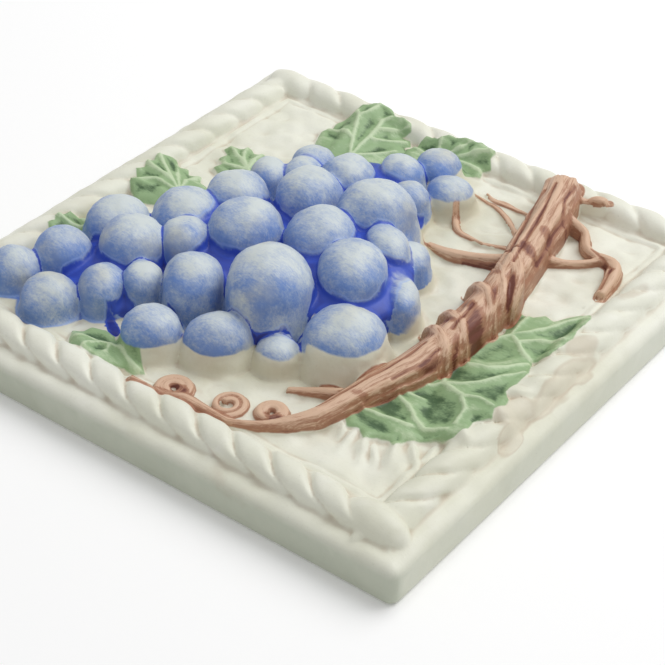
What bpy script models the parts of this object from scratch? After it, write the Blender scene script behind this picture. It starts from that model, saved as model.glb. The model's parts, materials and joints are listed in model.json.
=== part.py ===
"""Relief wall tile in glazed earthenware: a rope border round a bunch of grapes, a knotty vine and leaves.

The tile is one casting. It lies on its back: the origin is the middle of the back face, +Z points out of
the relief and +Y is the top of the tile as it hangs. Lengths are metres.
"""
import math

import bmesh
import bpy
from mathutils import Vector

# The plain body of the tile
TILE_SIDE = 0.200
GROUND_HEIGHT = 0.0134
CORNER_RADIUS = 0.0030
ARRIS_RADIUS = 0.0024
ROUNDING_SEGMENTS = 3
BACK_CHAMFER = 0.0008

# The rope border
ROPE_INSET = 0.0062
ROPE_WIDTH = 0.0118
ROPE_HEIGHT = 0.0060
STRAND_PITCH = 0.0133
STRAND_SLANT = math.radians(50)
# Between two strands the rope sinks to this share of its height and draws in to this share of its width
ROPE_VALLEY = 0.68
ROPE_WAIST = 0.95
# The sections of one strand: share of the pitch, share of the full height and share of the full width
STRAND_SECTIONS = ((0.0, ROPE_VALLEY, ROPE_WAIST), (0.3, 1.0, 1.0), (0.75, 1.0, 1.0))
ROPE_SECTION_ANGLES = (0, 38, 72, 108, 142, 180)
# Towards its outer foot a strand hooks along the side by this share of the pitch
STRAND_HOOK = 0.4

# The long strand at each corner stands a little prouder than the rope and is turned a little
CORNER_STRAND_LENGTH = 0.0290
CORNER_STRAND_WIDTH = 0.0130
CORNER_STRAND_PROUD = 0.0003
CORNER_STRAND_TURN = math.radians(6)
CORNER_RING_ANGLES = (20, 48, 74, 90)
CORNER_STRAND_SIDES = 12

# The carving rises this far above the ground at its highest grape
RELIEF_HEIGHT = 0.0275
# Every form runs down into the tile's body by this much
ROOT_DEPTH = 0.0030

# The carving is drawn on a square of this many units, and this many from the ground to its highest crown
DRAWING_SIDE = 200.0
DRAWING_RISE = 27.5

# A dome's height over its half width, how far its foot spreads, and the most of a form's height it may take
GRAPE_DOME = 0.85
GRAPE_FOOT_SPREAD = 1.10
HEAP_DOME = 0.3
HEAP_FOOT_SPREAD = 1.0
DOME_LIMIT = 0.95
GRAPE_RING_ANGLES = (18, 42, 66, 90)
SMALL_GRAPE_RING_ANGLES = (22, 55, 90)
GRAPE_SIDES = 11
SMALL_GRAPE_SIDES = 9
SMALL_GRAPE_WIDTH = 17.5

# Grapes: across, up, crown above the ground, width, length, bearing of the length in degrees
GRAPES = (
    (-77, -66, 11.5, 18, 19, 0),
    (-69, -51, 14, 20, 21, 127),
    (-67, -27, 14.5, 22, 23, 127),
    (-51, -37, 18.5, 22, 24, 127),
    (-39, -24, 17, 14, 17, 127),
    (-50, -12, 17, 23, 25, 127),
    (-43, 6, 17.5, 22, 24, 127),
    (-24, -12, 23, 25, 27, 127),
    (-57, -70, 11.5, 19, 19, 0),
    (-47, -56, 12.5, 13, 17, 127),
    (-36, -49, 14, 13, 16, 127),
    (-20, -43, 20, 19, 23, 127),
    (4, -34, 27.5, 27, 31, 127),
    (-18, -65, 14, 19, 19, 0),
    (1, -56, 14.5, 21, 19, 127),
    (19, -49, 10, 14, 15, 0),
    (34, -35, 19, 26, 26, 0),
    (20, -13, 25, 22, 28, 127),
    (19, 7, 20, 14, 20, 145),
    (24, 13, 13, 13, 17, 127),
    (35, -7, 14, 11, 19, 127),
    (-1, -2, 23.5, 24, 27, 127),
    (4, 21, 24.5, 27, 27, 0),
    (3, 42, 14, 13, 17, 127),
    (-22, 19, 20.5, 23, 25, 127),
    (-45, 26, 12.5, 14, 17, 127),
    (-35, 32, 13.5, 15, 18, 127),
    (-39, 43, 12, 15, 16, 127),
    (-21, 39, 16.5, 20, 22, 127),
    (-10, 55, 13, 16, 19, 127),
    (-4, 69, 11, 16.5, 18, 127),
    (9, 57, 11, 18, 18, 0),
)

# The heap under the grapes, which fills the gaps between them: across, up, crown, width, length, bearing
HEAPS = (
    (12, -6, 15, 44, 62, 127),
    (-27, -14, 12, 44, 60, 127),
    (-50, -46, 8, 40, 46, 127),
    (-12, 34, 9, 46, 56, 127),
)

# The vine from its sawn top to the thin tail: across, up, crown above the ground, width
VINE = (
    (38.5, 83, 12.5, 13.0),
    (43, 71, 13.0, 13.0),
    (46.5, 58, 13.0, 13.5),
    (49.5, 44, 12.5, 13.0),
    (53, 30, 12.0, 12.5),
    (56, 12, 11.5, 12.5),
    (57, -4, 11.0, 12.5),
    (57, -18, 10.5, 12.5),
    (55, -31, 9.5, 12.0),
    (51, -43, 8.0, 10.0),
    (48, -54, 6.5, 7.5),
    (45, -64, 5.5, 6.5),
    (40, -71, 4.6, 5.0),
    (34, -76, 3.6, 3.6),
    (24, -80, 3.4, 3.4),
    (12, -80.5, 3.2, 3.4),
    (2, -82, 3.0, 3.2),
    (-8, -85, 6.2, 2.2),
)
VINE_SECTION_ANGLES = (0, 36, 72, 108, 144, 180)
# The straight sides of the vine and its shoots: least share of the height, and how far the foot spreads
BRANCH_SIDE_SHARE = 0.2
BRANCH_FOOT_SPREAD = 1.1

# Thin shoots, each a run of stations: across, up, crown above the ground, width
SHOOTS = {
    "sawn_stub": ((40, 76, 11.0, 7.0), (47, 79, 9.8, 6.5), (55, 83, 5.3, 5.5)),
    "left_arm": ((50, 36, 9.5, 9.0), (40, 32, 6.6, 7.5), (29, 28, 5.3, 6.5), (18, 30, 3.2, 3.5)),
    "left_thread": ((48, 44, 4.8, 2.6), (32, 43, 2.0, 2.2), (19, 47, 2.9, 3.4), (12, 58, 3.4, 3.6)),
    "upper_left_shoot": ((45, 52, 6.0, 4.0), (36, 57, 3.2, 3.6), (24, 63, 2.2, 2.6), (9, 69, 2.0, 2.2)),
    "top_left_shoot": ((40, 66, 3.5, 3.0), (27, 67, 2.7, 3.0), (16, 71, 1.9, 2.0)),
    "right_shoot": ((49, 68, 9.5, 5.0), (56, 68, 7.5, 5.0), (63, 61, 6.4, 5.6), (71, 58, 5.9, 5.0)),
    "drooping_shoot": ((68, 59, 5.7, 4.5), (74, 57, 6.5, 5.4), (76, 50, 5.9, 5.8), (78, 41, 3.8, 4.4)),
    "lower_right_shoot": ((53, 43, 7.8, 4.5), (61, 49, 4.9, 3.8), (69, 58, 4.7, 3.4)),
    "forked_twig": ((48, -50, 5.5, 5.0), (39, -53, 3.6, 4.4), (29, -57, 2.1, 2.4)),
}
SHOOT_SECTION_ANGLES = (0, 60, 120, 180)

# Tendril bands laid over the vine: left foot, crest and right foot, each across and up, then the width
BANDS = (
    ((46, 31), (55, 23), (63, 8), 4.0),
    ((45, 23), (54, 16), (63, 4), 3.4),
    ((46, 14), (54, 9), (62, 0), 4.4),
    ((48, -2), (57, -6), (65, -17), 4.4),
    ((48, -12), (57, -15), (63, -25), 3.8),
)
BAND_STATIONS = 7
BAND_PROUD = 0.7
BAND_FOOT_RISE = 0.8
# A band's arch is a parabola raised to this power, which keeps its shoulders full
BAND_ARCH_POWER = 0.4

# Tendril coils: middle across and up, outer radius, turns, bearing of the outer end in degrees, width
COILS = (
    (34.5, -69.5, 5.6, 1.6, -20, 3.4),
    (20.5, -73.0, 5.4, 0.8, -60, 3.2),
    (4.0, -77.5, 5.6, 1.4, -35, 3.2),
)
COIL_STATIONS_PER_TURN = 9
COIL_SIDES = 5
COIL_RISE = 0.9

# Leaves: foot of the ribs across and up, then each lobe's bearing in degrees and its reach
LEAVES = {
    "great_leaf": ((62, -30), ((-107, 30), (-90, 37), (-70, 34), (-46, 29), (-10, 25), (20, 25), (50, 33),
                               (63, 53), (72, 64), (81, 52), (90, 44), (130, 16), (220, 15))),
    "top_leaf": ((-33, 57), ((-60, 10), (58, 20), (72, 28), (92, 35), (115, 38), (138, 27), (158, 22),
                            (220, 12))),
    "corner_leaf": ((-5, 73), ((-90, 8), (17, 14), (65, 21), (98, 21), (144, 17))),
    "shoulder_leaf": ((-53, 31), ((0, 10), (112, 12), (168, 20), (212, 16))),
    "side_leaf": ((-62, 9), ((20, 10), (129, 14), (158, 30), (220, 24), (250, 18))),
    "tip_leaf": ((-79, -32), ((0, 7), (150, 9), (185, 14), (218, 9))),
    "foot_leaf": ((-31, -70), ((90, 8), (150, 9), (215, 14), (249, 14), (281, 13), (324, 15), (337, 23),
                               (352, 18))),
}
LEAF_EDGE_RISE = 1.3
LEAF_RIB_RISE = 3.6
LEAF_HOLLOW_RISE = 1.5
LEAF_FOOT_RISE = 4.2
LEAF_FOOT_RADIUS = 0.8
LEAF_INNER_RING = 0.55
# A notch between two lobes reaches this share of the shorter one
LEAF_NOTCH = 0.78
# A lobe's shoulder: share of the gap to the next lobe, share of the drop into the notch, share of the rib
LEAF_SHOULDER = (0.25, 0.35, 0.35)

GLAZE_COLOUR = (0.86, 0.84, 0.76, 1.0)
GLAZE_ROUGHNESS = 0.3


def along(units):
    """A length in the plane of the tile, from drawing units."""
    return units * TILE_SIDE / DRAWING_SIDE


def rise(units):
    """A height above the ground, from drawing units."""
    return units * RELIEF_HEIGHT / DRAWING_RISE


def rope_bed(x, y):
    """How far the rope border stands above the ground at a point of the tile."""
    from_edge = TILE_SIDE / 2 - max(abs(x), abs(y))
    across = (from_edge - ROPE_INSET - ROPE_WIDTH / 2) / (ROPE_WIDTH / 2)
    if abs(across) >= 1:
        return 0.0
    return ROPE_HEIGHT * math.sqrt(1 - across * across)


def relief_point(across, up, height, bedded=False):
    """A point of the carving from drawing units, standing on the rope where it is bedded there."""
    x = along(across)
    y = along(up)
    bed = rope_bed(x, y) if bedded else 0.0
    return Vector((x, y, GROUND_HEIGHT + bed + rise(height)))


def closed_body(name, rings):
    """A closed solid through rings of points that all have the same count, with flat ends."""
    shape = bmesh.new()
    loops = [[shape.verts.new(point) for point in ring] for ring in rings]
    count = len(loops[0])
    for lower, upper in zip(loops, loops[1:]):
        for i in range(count):
            j = (i + 1) % count
            shape.faces.new((lower[i], lower[j], upper[j], upper[i]))
    shape.faces.new(loops[0])
    shape.faces.new(loops[-1])
    bmesh.ops.recalc_face_normals(shape, faces=shape.faces)
    mesh = bpy.data.meshes.new(name)
    shape.to_mesh(mesh)
    shape.free()
    return bpy.data.objects.new(name, mesh)


def oval(centre, half_length, half_width, bearing, height, sides):
    """One level ring of an oval whose length lies on a bearing."""
    ring = []
    for i in range(sides):
        angle = 2 * math.pi * i / sides
        lengthwise = half_length * math.cos(angle)
        sideways = half_width * math.sin(angle)
        x = centre[0] + lengthwise * math.cos(bearing) - sideways * math.sin(bearing)
        y = centre[1] + lengthwise * math.sin(bearing) + sideways * math.cos(bearing)
        ring.append(Vector((x, y, height)))
    return ring


def domed_form(name, across, up, crown, width, length, bearing, dome, foot_spread):
    """A rounded top on straight sides that spread a little and run down into the tile."""
    centre = (along(across), along(up))
    half_width = along(width) / 2
    half_length = along(length) / 2
    turn = math.radians(bearing)
    top = GROUND_HEIGHT + rise(crown)
    dome_height = min(dome * half_width, DOME_LIMIT * rise(crown))
    rings = []
    small = width < SMALL_GRAPE_WIDTH
    sides = SMALL_GRAPE_SIDES if small else GRAPE_SIDES
    for polar in SMALL_GRAPE_RING_ANGLES if small else GRAPE_RING_ANGLES:
        share = math.sin(math.radians(polar))
        height = top - dome_height * (1 - math.cos(math.radians(polar)))
        rings.append(oval(centre, half_length * share, half_width * share, turn, height, sides))
    root = GROUND_HEIGHT - ROOT_DEPTH
    rings.append(oval(centre, half_length * foot_spread, half_width * foot_spread, turn, root, sides))
    return closed_body(name, rings)


def tube(name, points, radii, sides):
    """A round bar through points, with a radius at each."""
    rings = []
    for i, point in enumerate(points):
        before = points[max(i - 1, 0)]
        after = points[min(i + 1, len(points) - 1)]
        heading = (after - before).normalized()
        side = Vector((-heading.y, heading.x, 0)).normalized()
        lift = heading.cross(side).normalized()
        ring = []
        for k in range(sides):
            angle = 2 * math.pi * (k + 0.5) / sides
            ring.append(point + radii[i] * (math.cos(angle) * side + math.sin(angle) * lift))
        rings.append(ring)
    return closed_body(name, rings)


def tile_body():
    """The plain square body, with rounded corners, a soft front edge and a small chamfer at the back."""
    middle = GROUND_HEIGHT / 2
    segments = ROUNDING_SEGMENTS
    shape = bmesh.new()
    bmesh.ops.create_cube(shape, size=1.0)
    bmesh.ops.scale(shape, vec=(TILE_SIDE, TILE_SIDE, GROUND_HEIGHT), verts=shape.verts)
    bmesh.ops.translate(shape, vec=(0, 0, middle), verts=shape.verts)
    upright = [e for e in shape.edges if abs(e.verts[0].co.z - e.verts[1].co.z) > middle]
    bmesh.ops.bevel(shape, geom=upright, offset=CORNER_RADIUS, segments=segments, profile=0.5, affect="EDGES")
    front = [e for e in shape.edges if min(v.co.z for v in e.verts) > middle]
    bmesh.ops.bevel(shape, geom=front, offset=ARRIS_RADIUS, segments=segments, profile=0.5, affect="EDGES")
    back = [e for e in shape.edges if max(v.co.z for v in e.verts) < BACK_CHAMFER / 2]
    bmesh.ops.bevel(shape, geom=back, offset=BACK_CHAMFER, segments=1, affect="EDGES")
    bmesh.ops.recalc_face_normals(shape, faces=shape.faces)
    mesh = bpy.data.meshes.new("tile")
    shape.to_mesh(mesh)
    shape.free()
    body = bpy.data.objects.new("tile", mesh)
    bpy.context.scene.collection.objects.link(body)
    return body


def side_point(side, station, from_line, height):
    """A point of one side's rope, by its station along the side and its distance out from the middle line."""
    quarter = side * math.pi / 2
    reach = TILE_SIDE / 2 - ROPE_INSET - ROPE_WIDTH / 2 + from_line
    x = station * math.cos(quarter) + reach * math.sin(quarter)
    y = station * math.sin(quarter) - reach * math.cos(quarter)
    return Vector((x, y, height))


def rope_run(side, start, end):
    """The slanted strands of one side as one bar, whose sections lie along the strands' slant."""
    count = round((end - start) / STRAND_PITCH)
    pitch = (end - start) / count
    lean = ROPE_WIDTH / 2 / math.tan(STRAND_SLANT)
    stations = [(k + share, height, width) for k in range(count) for share, height, width in STRAND_SECTIONS]
    stations.append((count, ROPE_VALLEY, ROPE_WAIST))
    rings = []
    for pitches, height, width in stations:
        section = []
        for degrees in ROPE_SECTION_ANGLES:
            level = GROUND_HEIGHT + height * ROPE_HEIGHT * math.sin(math.radians(degrees))
            section.append((math.cos(math.radians(degrees)), level))
        section.append((-1, GROUND_HEIGHT - ROOT_DEPTH))
        section.append((1, GROUND_HEIGHT - ROOT_DEPTH))
        ring = []
        for across, level in section:
            station = start + pitch * (pitches + STRAND_HOOK * max(across, 0) ** 2) + lean * across
            ring.append(side_point(side, station, width * across * ROPE_WIDTH / 2, level))
        rings.append(ring)
    return closed_body(f"rope_side_{side}", rings)


def corner_strand(side, start):
    """The long oval strand that turns the corner at the end of one side."""
    half_length = CORNER_STRAND_LENGTH / 2
    half_width = CORNER_STRAND_WIDTH / 2
    middle = side_point(side, start + half_length, 0, 0)
    bearing = side * math.pi / 2 - CORNER_STRAND_TURN
    spots = []
    for polar in CORNER_RING_ANGLES:
        level = CORNER_STRAND_PROUD + ROPE_HEIGHT * math.cos(math.radians(polar))
        spots.append((math.sin(math.radians(polar)), GROUND_HEIGHT + level))
    spots.append((1.0, GROUND_HEIGHT - ROOT_DEPTH))
    rings = []
    for share, level in spots:
        ring = oval(middle, half_length * share, half_width * share, bearing, level, CORNER_STRAND_SIDES)
        rings.append(ring)
    return closed_body(f"corner_strand_{side}", rings)


def rope_border():
    """The rope: on each side a run of slanted strands that ends in a long strand at the corner."""
    outer = TILE_SIDE / 2 - ROPE_INSET
    corner_start = outer - CORNER_STRAND_LENGTH
    run_start = ROPE_WIDTH - outer
    forms = []
    for side in range(4):
        forms.append(rope_run(side, run_start, corner_start))
        forms.append(corner_strand(side, corner_start))
    return forms


def grape_bunch():
    """The grapes, and the low heaps that close the gaps between them."""
    forms = []
    for i, grape in enumerate(GRAPES):
        forms.append(domed_form(f"grape_{i}", *grape, GRAPE_DOME, GRAPE_FOOT_SPREAD))
    for i, heap in enumerate(HEAPS):
        forms.append(domed_form(f"heap_{i}", *heap, HEAP_DOME, HEAP_FOOT_SPREAD))
    return forms


def branch(name, stations, section_angles, bedded=False):
    """A half-round branch through stations, whose straight sides run down into the tile as in a mould."""
    spots = [relief_point(across, up, crown, bedded) for across, up, crown, _ in stations]
    rings = []
    for i, (_, _, _, width) in enumerate(stations):
        heading = spots[min(i + 1, len(spots) - 1)] - spots[max(i - 1, 0)]
        side = Vector((-heading.y, heading.x, 0)).normalized()
        middle = Vector((spots[i].x, spots[i].y, 0))
        half = along(width) / 2
        top = spots[i].z - GROUND_HEIGHT
        spring = max(top - half, BRANCH_SIDE_SHARE * top)
        ring = []
        for degrees in section_angles:
            angle = math.radians(degrees)
            level = GROUND_HEIGHT + spring + (top - spring) * math.sin(angle)
            ring.append(middle + half * math.cos(angle) * side + Vector((0, 0, level)))
        for direction in (-1, 1):
            foot = middle + direction * BRANCH_FOOT_SPREAD * half * side
            ring.append(Vector((foot.x, foot.y, GROUND_HEIGHT - ROOT_DEPTH)))
        rings.append(ring)
    return closed_body(name, rings)


def shoots():
    """The thin shoots and the forked twig, which stand on the rope where they cross it."""
    forms = []
    for name, stations in SHOOTS.items():
        forms.append(branch(name, stations, SHOOT_SECTION_ANGLES, bedded=True))
    return forms


def vine_crown_at(up):
    """The vine's crown above the ground at a height up the tile, in drawing units."""
    for (_, upper, crown_a, _), (_, lower, crown_b, _) in zip(VINE, VINE[1:]):
        if lower <= up <= upper:
            share = (upper - up) / (upper - lower)
            return crown_a + share * (crown_b - crown_a)
    return VINE[0][2]


def tendril_bands():
    """Bands of tendril that cross the vine from its left foot over the crest to its right foot."""
    forms = []
    for i, (left, crest, right, width) in enumerate(BANDS):
        climb = vine_crown_at(crest[1]) + BAND_PROUD - BAND_FOOT_RISE
        stations = []
        for k in range(BAND_STATIONS):
            share = k / (BAND_STATIONS - 1)
            bow = 4 * share * (1 - share)
            across = left[0] + share * (right[0] - left[0])
            up = left[1] + share * (right[1] - left[1]) + bow * (crest[1] - (left[1] + right[1]) / 2)
            stations.append((across, up, BAND_FOOT_RISE + climb * bow ** BAND_ARCH_POWER, width))
        forms.append(branch(f"band_{i}", stations, SHOOT_SECTION_ANGLES))
    return forms


def tendril_coils():
    """The curled tendril ends: flat spirals that lie on the ground."""
    forms = []
    for i, (across, up, radius, turns, bearing, width) in enumerate(COILS):
        stations = round(turns * COIL_STATIONS_PER_TURN)
        points = []
        for k in range(stations + 1):
            share = k / stations
            angle = math.radians(bearing) + 2 * math.pi * turns * share
            reach = radius - width / 2 - (radius - width) * share * turns / 2
            spot = (across + reach * math.cos(angle), up + reach * math.sin(angle))
            points.append(relief_point(*spot, COIL_RISE))
        radii = [along(width) / 2] * (stations + 1)
        forms.append(tube(f"coil_{i}", points, radii, COIL_SIDES))
    return forms


def leaf_outline(lobes):
    """The toothed outline of a leaf: bearing, reach and whether it lies on a rib, for each point in turn."""
    turn, drop, rib = LEAF_SHOULDER
    outline = []
    for (bearing_a, reach_a), (bearing_b, reach_b) in zip(lobes, lobes[1:] + lobes[:1]):
        gap = (bearing_b - bearing_a) % 360
        notch = LEAF_NOTCH * min(reach_a, reach_b)
        outline.append((bearing_a, reach_a, 1.0))
        outline.append((bearing_a + turn * gap, reach_a + drop * (notch - reach_a), rib))
        outline.append((bearing_a + gap / 2, notch, 0.0))
        outline.append((bearing_b - turn * gap, reach_b + drop * (notch - reach_b), rib))
    return outline


def leaf(name, foot, lobes):
    """A leaf with raised ribs to its lobe tips and hollows between them."""
    rings = ([], [], [], [])
    for bearing, reach, rib in leaf_outline(lobes):
        turn = math.radians(bearing)
        ridge = LEAF_HOLLOW_RISE + rib * (LEAF_RIB_RISE - LEAF_HOLLOW_RISE)
        outs = (LEAF_FOOT_RADIUS, LEAF_INNER_RING * reach, reach)
        levels = (LEAF_FOOT_RISE, ridge, LEAF_EDGE_RISE)
        for ring, out, level in zip(rings, outs, levels):
            across = foot[0] + out * math.cos(turn)
            up = foot[1] + out * math.sin(turn)
            ring.append(relief_point(across, up, level, bedded=True))
        edge = rings[2][-1]
        rings[3].append(Vector((edge.x, edge.y, GROUND_HEIGHT - ROOT_DEPTH)))
    return closed_body(name, rings)


def glaze():
    """The cream glaze of the whole casting."""
    material = bpy.data.materials.new("cream_glaze")
    material.use_nodes = True
    shader = material.node_tree.nodes["Principled BSDF"]
    shader.inputs["Base Color"].default_value = GLAZE_COLOUR
    shader.inputs["Roughness"].default_value = GLAZE_ROUGHNESS
    shader.inputs["Metallic"].default_value = 0.0
    return material


def build():
    """The whole casting: the plain body joined with every carved form."""
    for old in list(bpy.data.objects):
        bpy.data.objects.remove(old)
    carving = bpy.data.collections.new("carving")
    bpy.context.scene.collection.children.link(carving)
    forms = rope_border() + grape_bunch() + shoots() + tendril_bands() + tendril_coils()
    forms.append(branch("vine", VINE, VINE_SECTION_ANGLES))
    forms += [leaf(name, foot, lobes) for name, (foot, lobes) in LEAVES.items()]
    for form in forms:
        form.hide_render = True
        form.display_type = "WIRE"
        carving.objects.link(form)
    tile = tile_body()
    tile.data.materials.append(glaze())
    join = tile.modifiers.new("carving", "BOOLEAN")
    join.operation = "UNION"
    join.solver = "EXACT"
    join.operand_type = "COLLECTION"
    join.collection = carving
    return tile


build()
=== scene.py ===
"""Relief wall tile in glazed earthenware, with a rope border round grapes, a gnarled vine and its leaves.

The whole tile is one casting. Its forms are modelled one by one as a carver would set them on the slab, then
fused into one body, worked over for the fine carving, and painted and glazed.
"""
import json
import math

import bmesh
import bpy
import numpy as np
from mathutils import Matrix, Vector

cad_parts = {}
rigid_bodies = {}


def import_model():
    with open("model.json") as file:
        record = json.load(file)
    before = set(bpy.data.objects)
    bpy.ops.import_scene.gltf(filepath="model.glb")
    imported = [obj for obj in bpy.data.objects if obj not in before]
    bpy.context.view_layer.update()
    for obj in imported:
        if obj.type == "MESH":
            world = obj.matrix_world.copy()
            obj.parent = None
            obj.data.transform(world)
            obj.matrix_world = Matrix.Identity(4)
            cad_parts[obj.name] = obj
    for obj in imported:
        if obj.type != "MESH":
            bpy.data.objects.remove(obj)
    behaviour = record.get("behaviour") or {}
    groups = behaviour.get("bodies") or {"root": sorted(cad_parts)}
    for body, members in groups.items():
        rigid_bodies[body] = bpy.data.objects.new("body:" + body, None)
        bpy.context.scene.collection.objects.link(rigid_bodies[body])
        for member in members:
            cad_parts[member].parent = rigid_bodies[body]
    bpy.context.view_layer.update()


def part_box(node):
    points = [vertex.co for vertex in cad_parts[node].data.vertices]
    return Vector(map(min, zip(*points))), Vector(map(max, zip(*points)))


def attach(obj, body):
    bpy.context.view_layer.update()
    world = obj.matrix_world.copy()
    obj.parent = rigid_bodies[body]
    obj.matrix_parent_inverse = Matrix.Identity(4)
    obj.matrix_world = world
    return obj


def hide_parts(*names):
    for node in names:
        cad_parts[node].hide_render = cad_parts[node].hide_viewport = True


bl_info = {
    "name": "Vine Relief Tile",
    "version": (1, 0, 0),
    "blender": (4, 5, 0),
    "location": "View3D > Sidebar > Tile",
    "description": "A glazed relief tile with grapes, vine, leaves and a rope border",
    "category": "Add Mesh",
}

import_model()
TILE_LOW, TILE_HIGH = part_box("tile")
TILE_SIDE = TILE_HIGH[0] - TILE_LOW[0]

# The relief is drawn on a square of 200 units, so one unit is a millimetre on a 200 mm tile
HALF_SIDE = 100
UNIT = TILE_SIDE / 2 / HALF_SIDE

# Grapes: across, up, crown above the ground, width, length, bearing of the length in degrees
GRAPES = (
    (-77, -66, 11.5, 18, 19, 0), (-69, -51, 14, 20, 21, 127), (-67, -27, 14.5, 22, 23, 127),
    (-51, -37, 18.5, 22, 24, 127), (-38, -26, 17.5, 16, 20, 127), (-50, -12, 17, 23, 25, 127),
    (-43, 6, 17.5, 22, 24, 127), (-24, -12, 23, 25, 27, 127), (-57, -70, 11.5, 19, 19, 0),
    (-45.5, -57.5, 13, 15.5, 19, 127), (-36, -49, 14, 13, 16, 127), (-20, -43, 20, 19, 23, 127),
    (4, -34, 27.5, 27, 31, 127), (-18, -65, 14, 19, 19, 0), (1, -56, 14.5, 21, 19, 127),
    (19, -49, 10, 14, 15, 0), (34, -35, 19, 26, 26, 0), (20, -13, 25, 22, 28, 127),
    (19, 7, 20, 14, 20, 145), (24, 13, 13, 13, 17, 127), (35, -7, 14, 11, 19, 127),
    (-1, -2, 23.5, 24, 27, 127), (4, 21, 24.5, 27, 27, 0), (3, 42, 14, 13, 17, 127),
    (-22, 19, 20.5, 23, 25, 127), (-45, 26, 12.5, 14, 17, 127), (-35, 32, 13.5, 15, 18, 127),
    (-39, 43, 12, 15, 16, 127), (-21, 39, 16.5, 20, 22, 127), (-10, 55, 13, 16, 19, 127),
    (-4, 69, 11, 16.5, 18, 127), (9, 57, 11, 18, 18, 0),
)
# The grapes of the front row are left bare below a height above the ground
BARE_FOOTED = {13: 5.8, 14: 6.8, 15: 6.6, 16: 11.5, 31: 7.0, 30: 5.0}
# The grapes that stand at the lower left edge of the bunch
LOW_GRAPES = (0, 8, 9, 10)
# The grapes whose sides fall steeply behind the front row
STEEP_GRAPES = (11, 12)
# Low heaps of clay that fill the bunch under its gaps, given as the grapes are
HEAPS = ((12, -6, 15.5, 44, 62, 127), (-27, -14, 12, 44, 60, 127), (-50, -46, 7.5, 36, 42, 127),
         (-12, 34, 9.5, 46, 56, 127))
# How high a dome rises over its half width
GRAPE_DOME = 0.85
HEAP_DOME = 0.3
# How far a corner strand stands above the rope's run, in metres, and how it leans
CORNER_PROUD = 0.0003
CORNER_LEAN = math.radians(6)
# How much wider a branch's foot is than its rod
FOOT_SPREAD = 1.1
# How far a tendril band stands above the vine
BAND_PROUD = 0.7
# Height of a coil's rod at its middle, above the ground
COIL_LEVEL = 0.9
# The direction that counts as the upper side of a grape; the other side of a grape is painted in shade
UPPER_SIDE = (0.35, 0.94)
# The back face below this height is never carved
BACK_LEVEL = 0.6
# How many times a copy of the body is smoothed, to find its broad hollows and its fine creases
BROAD_PASSES = 110
FINE_PASSES = 14

# The vine from its sawn top to the thin tail: across, up, crown above the ground, width
VINE = (
    (38.5, 83, 12.5, 13.0), (43, 71, 13.0, 13.0), (46.5, 58, 13.0, 13.5), (49.5, 44, 12.5, 13.0),
    (53, 30, 12.0, 12.5), (56, 12, 11.5, 12.5), (57, -4, 11.0, 12.5), (57, -18, 10.5, 12.5),
    (55, -31, 9.5, 12.0), (51, -43, 8.0, 10.0), (48, -54, 6.5, 7.5), (45, -64, 5.5, 6.5),
    (40, -71, 4.6, 5.0), (34, -76, 3.4, 3.4), (25, -79.8, 2.6, 2.4), (16, -80.2, 3.2, 3.6),
    (9, -80.6, 3.8, 4.4), (2, -82.6, 3.0, 2.6), (-8, -85.4, 6.4, 1.4),
)
SHOOTS = (
    ((42, 79, 9.5, 2.8), (46, 80.6, 7.6, 2.0), (49.5, 82.2, 5.6, 2.6), (53, 83.6, 4.2, 3.2),
     (55.4, 84.4, 3.0, 2.4)),
    ((50, 38, 7.5, 6.0), (38, 34.5, 4.6, 5.2), (27, 31.5, 3.4, 4.6), (17, 33, 1.6, 2.2)),
    ((47, 46, 3.0, 1.8), (39, 46.3, 1.3, 1.3), (30, 44.6, 1.2, 1.3), (21.5, 45, 1.7, 2.6), (16, 51, 1.6, 2.8),
     (11.5, 57, 1.4, 2.0)),
    ((45, 51, 3.8, 3.2), (39, 55, 2.0, 3.0), (26, 64, 1.1, 1.4), (11, 68.5, 1.0, 1.1)),
    ((38, 68, 1.5, 1.5), (34, 68.8, 1.3, 1.6), (22, 68.3, 1.4, 2.2), (15, 71.5, 1.2, 1.6)),
    ((50, 68, 8.0, 3.8), (57, 67, 5.0, 3.6), (62, 60.5, 4.2, 3.6), (71, 58, 4.2, 3.6)),
    ((68, 59, 4.2, 3.6), (74, 57.4, 4.8, 5.0), (77, 51, 4.4, 5.4), (78.4, 42, 2.8, 4.4)),
    ((53, 45, 6.0, 3.2), (61, 50.5, 3.2, 2.4), (69, 58, 3.4, 2.2)),
    ((48, -49, 5.0, 4.4), (39, -52, 3.2, 3.8), (29, -57, 1.8, 2.0)),
)
# Tendril bands over the vine: left foot, crest and right foot, each across and up, then the width
BANDS = (
    ((45, 37), (57.2, 25), (62.5, 11), 4.6), ((47, 27.5), (57, 16.5), (61.5, 7), 3.4),
    ((45, 16), (56, 9.5), (62.5, 1), 4.6), ((46, -1.5), (57, -7.5), (62.8, -15), 4.2),
    ((46.5, -10), (57, -17), (62, -24), 4.4),
)
# Tendril coils: middle across and up, outer radius, turns, bearing of the outer end in degrees, width
COILS = (
    (32.2, -68.8, 6.1, 1.7, -20, 3.2), (19.8, -73.4, 6.8, 1.65, -60, 2.3),
    (1.8, -78.2, 7.4, 1.9, -35, 3.2),
)
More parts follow.
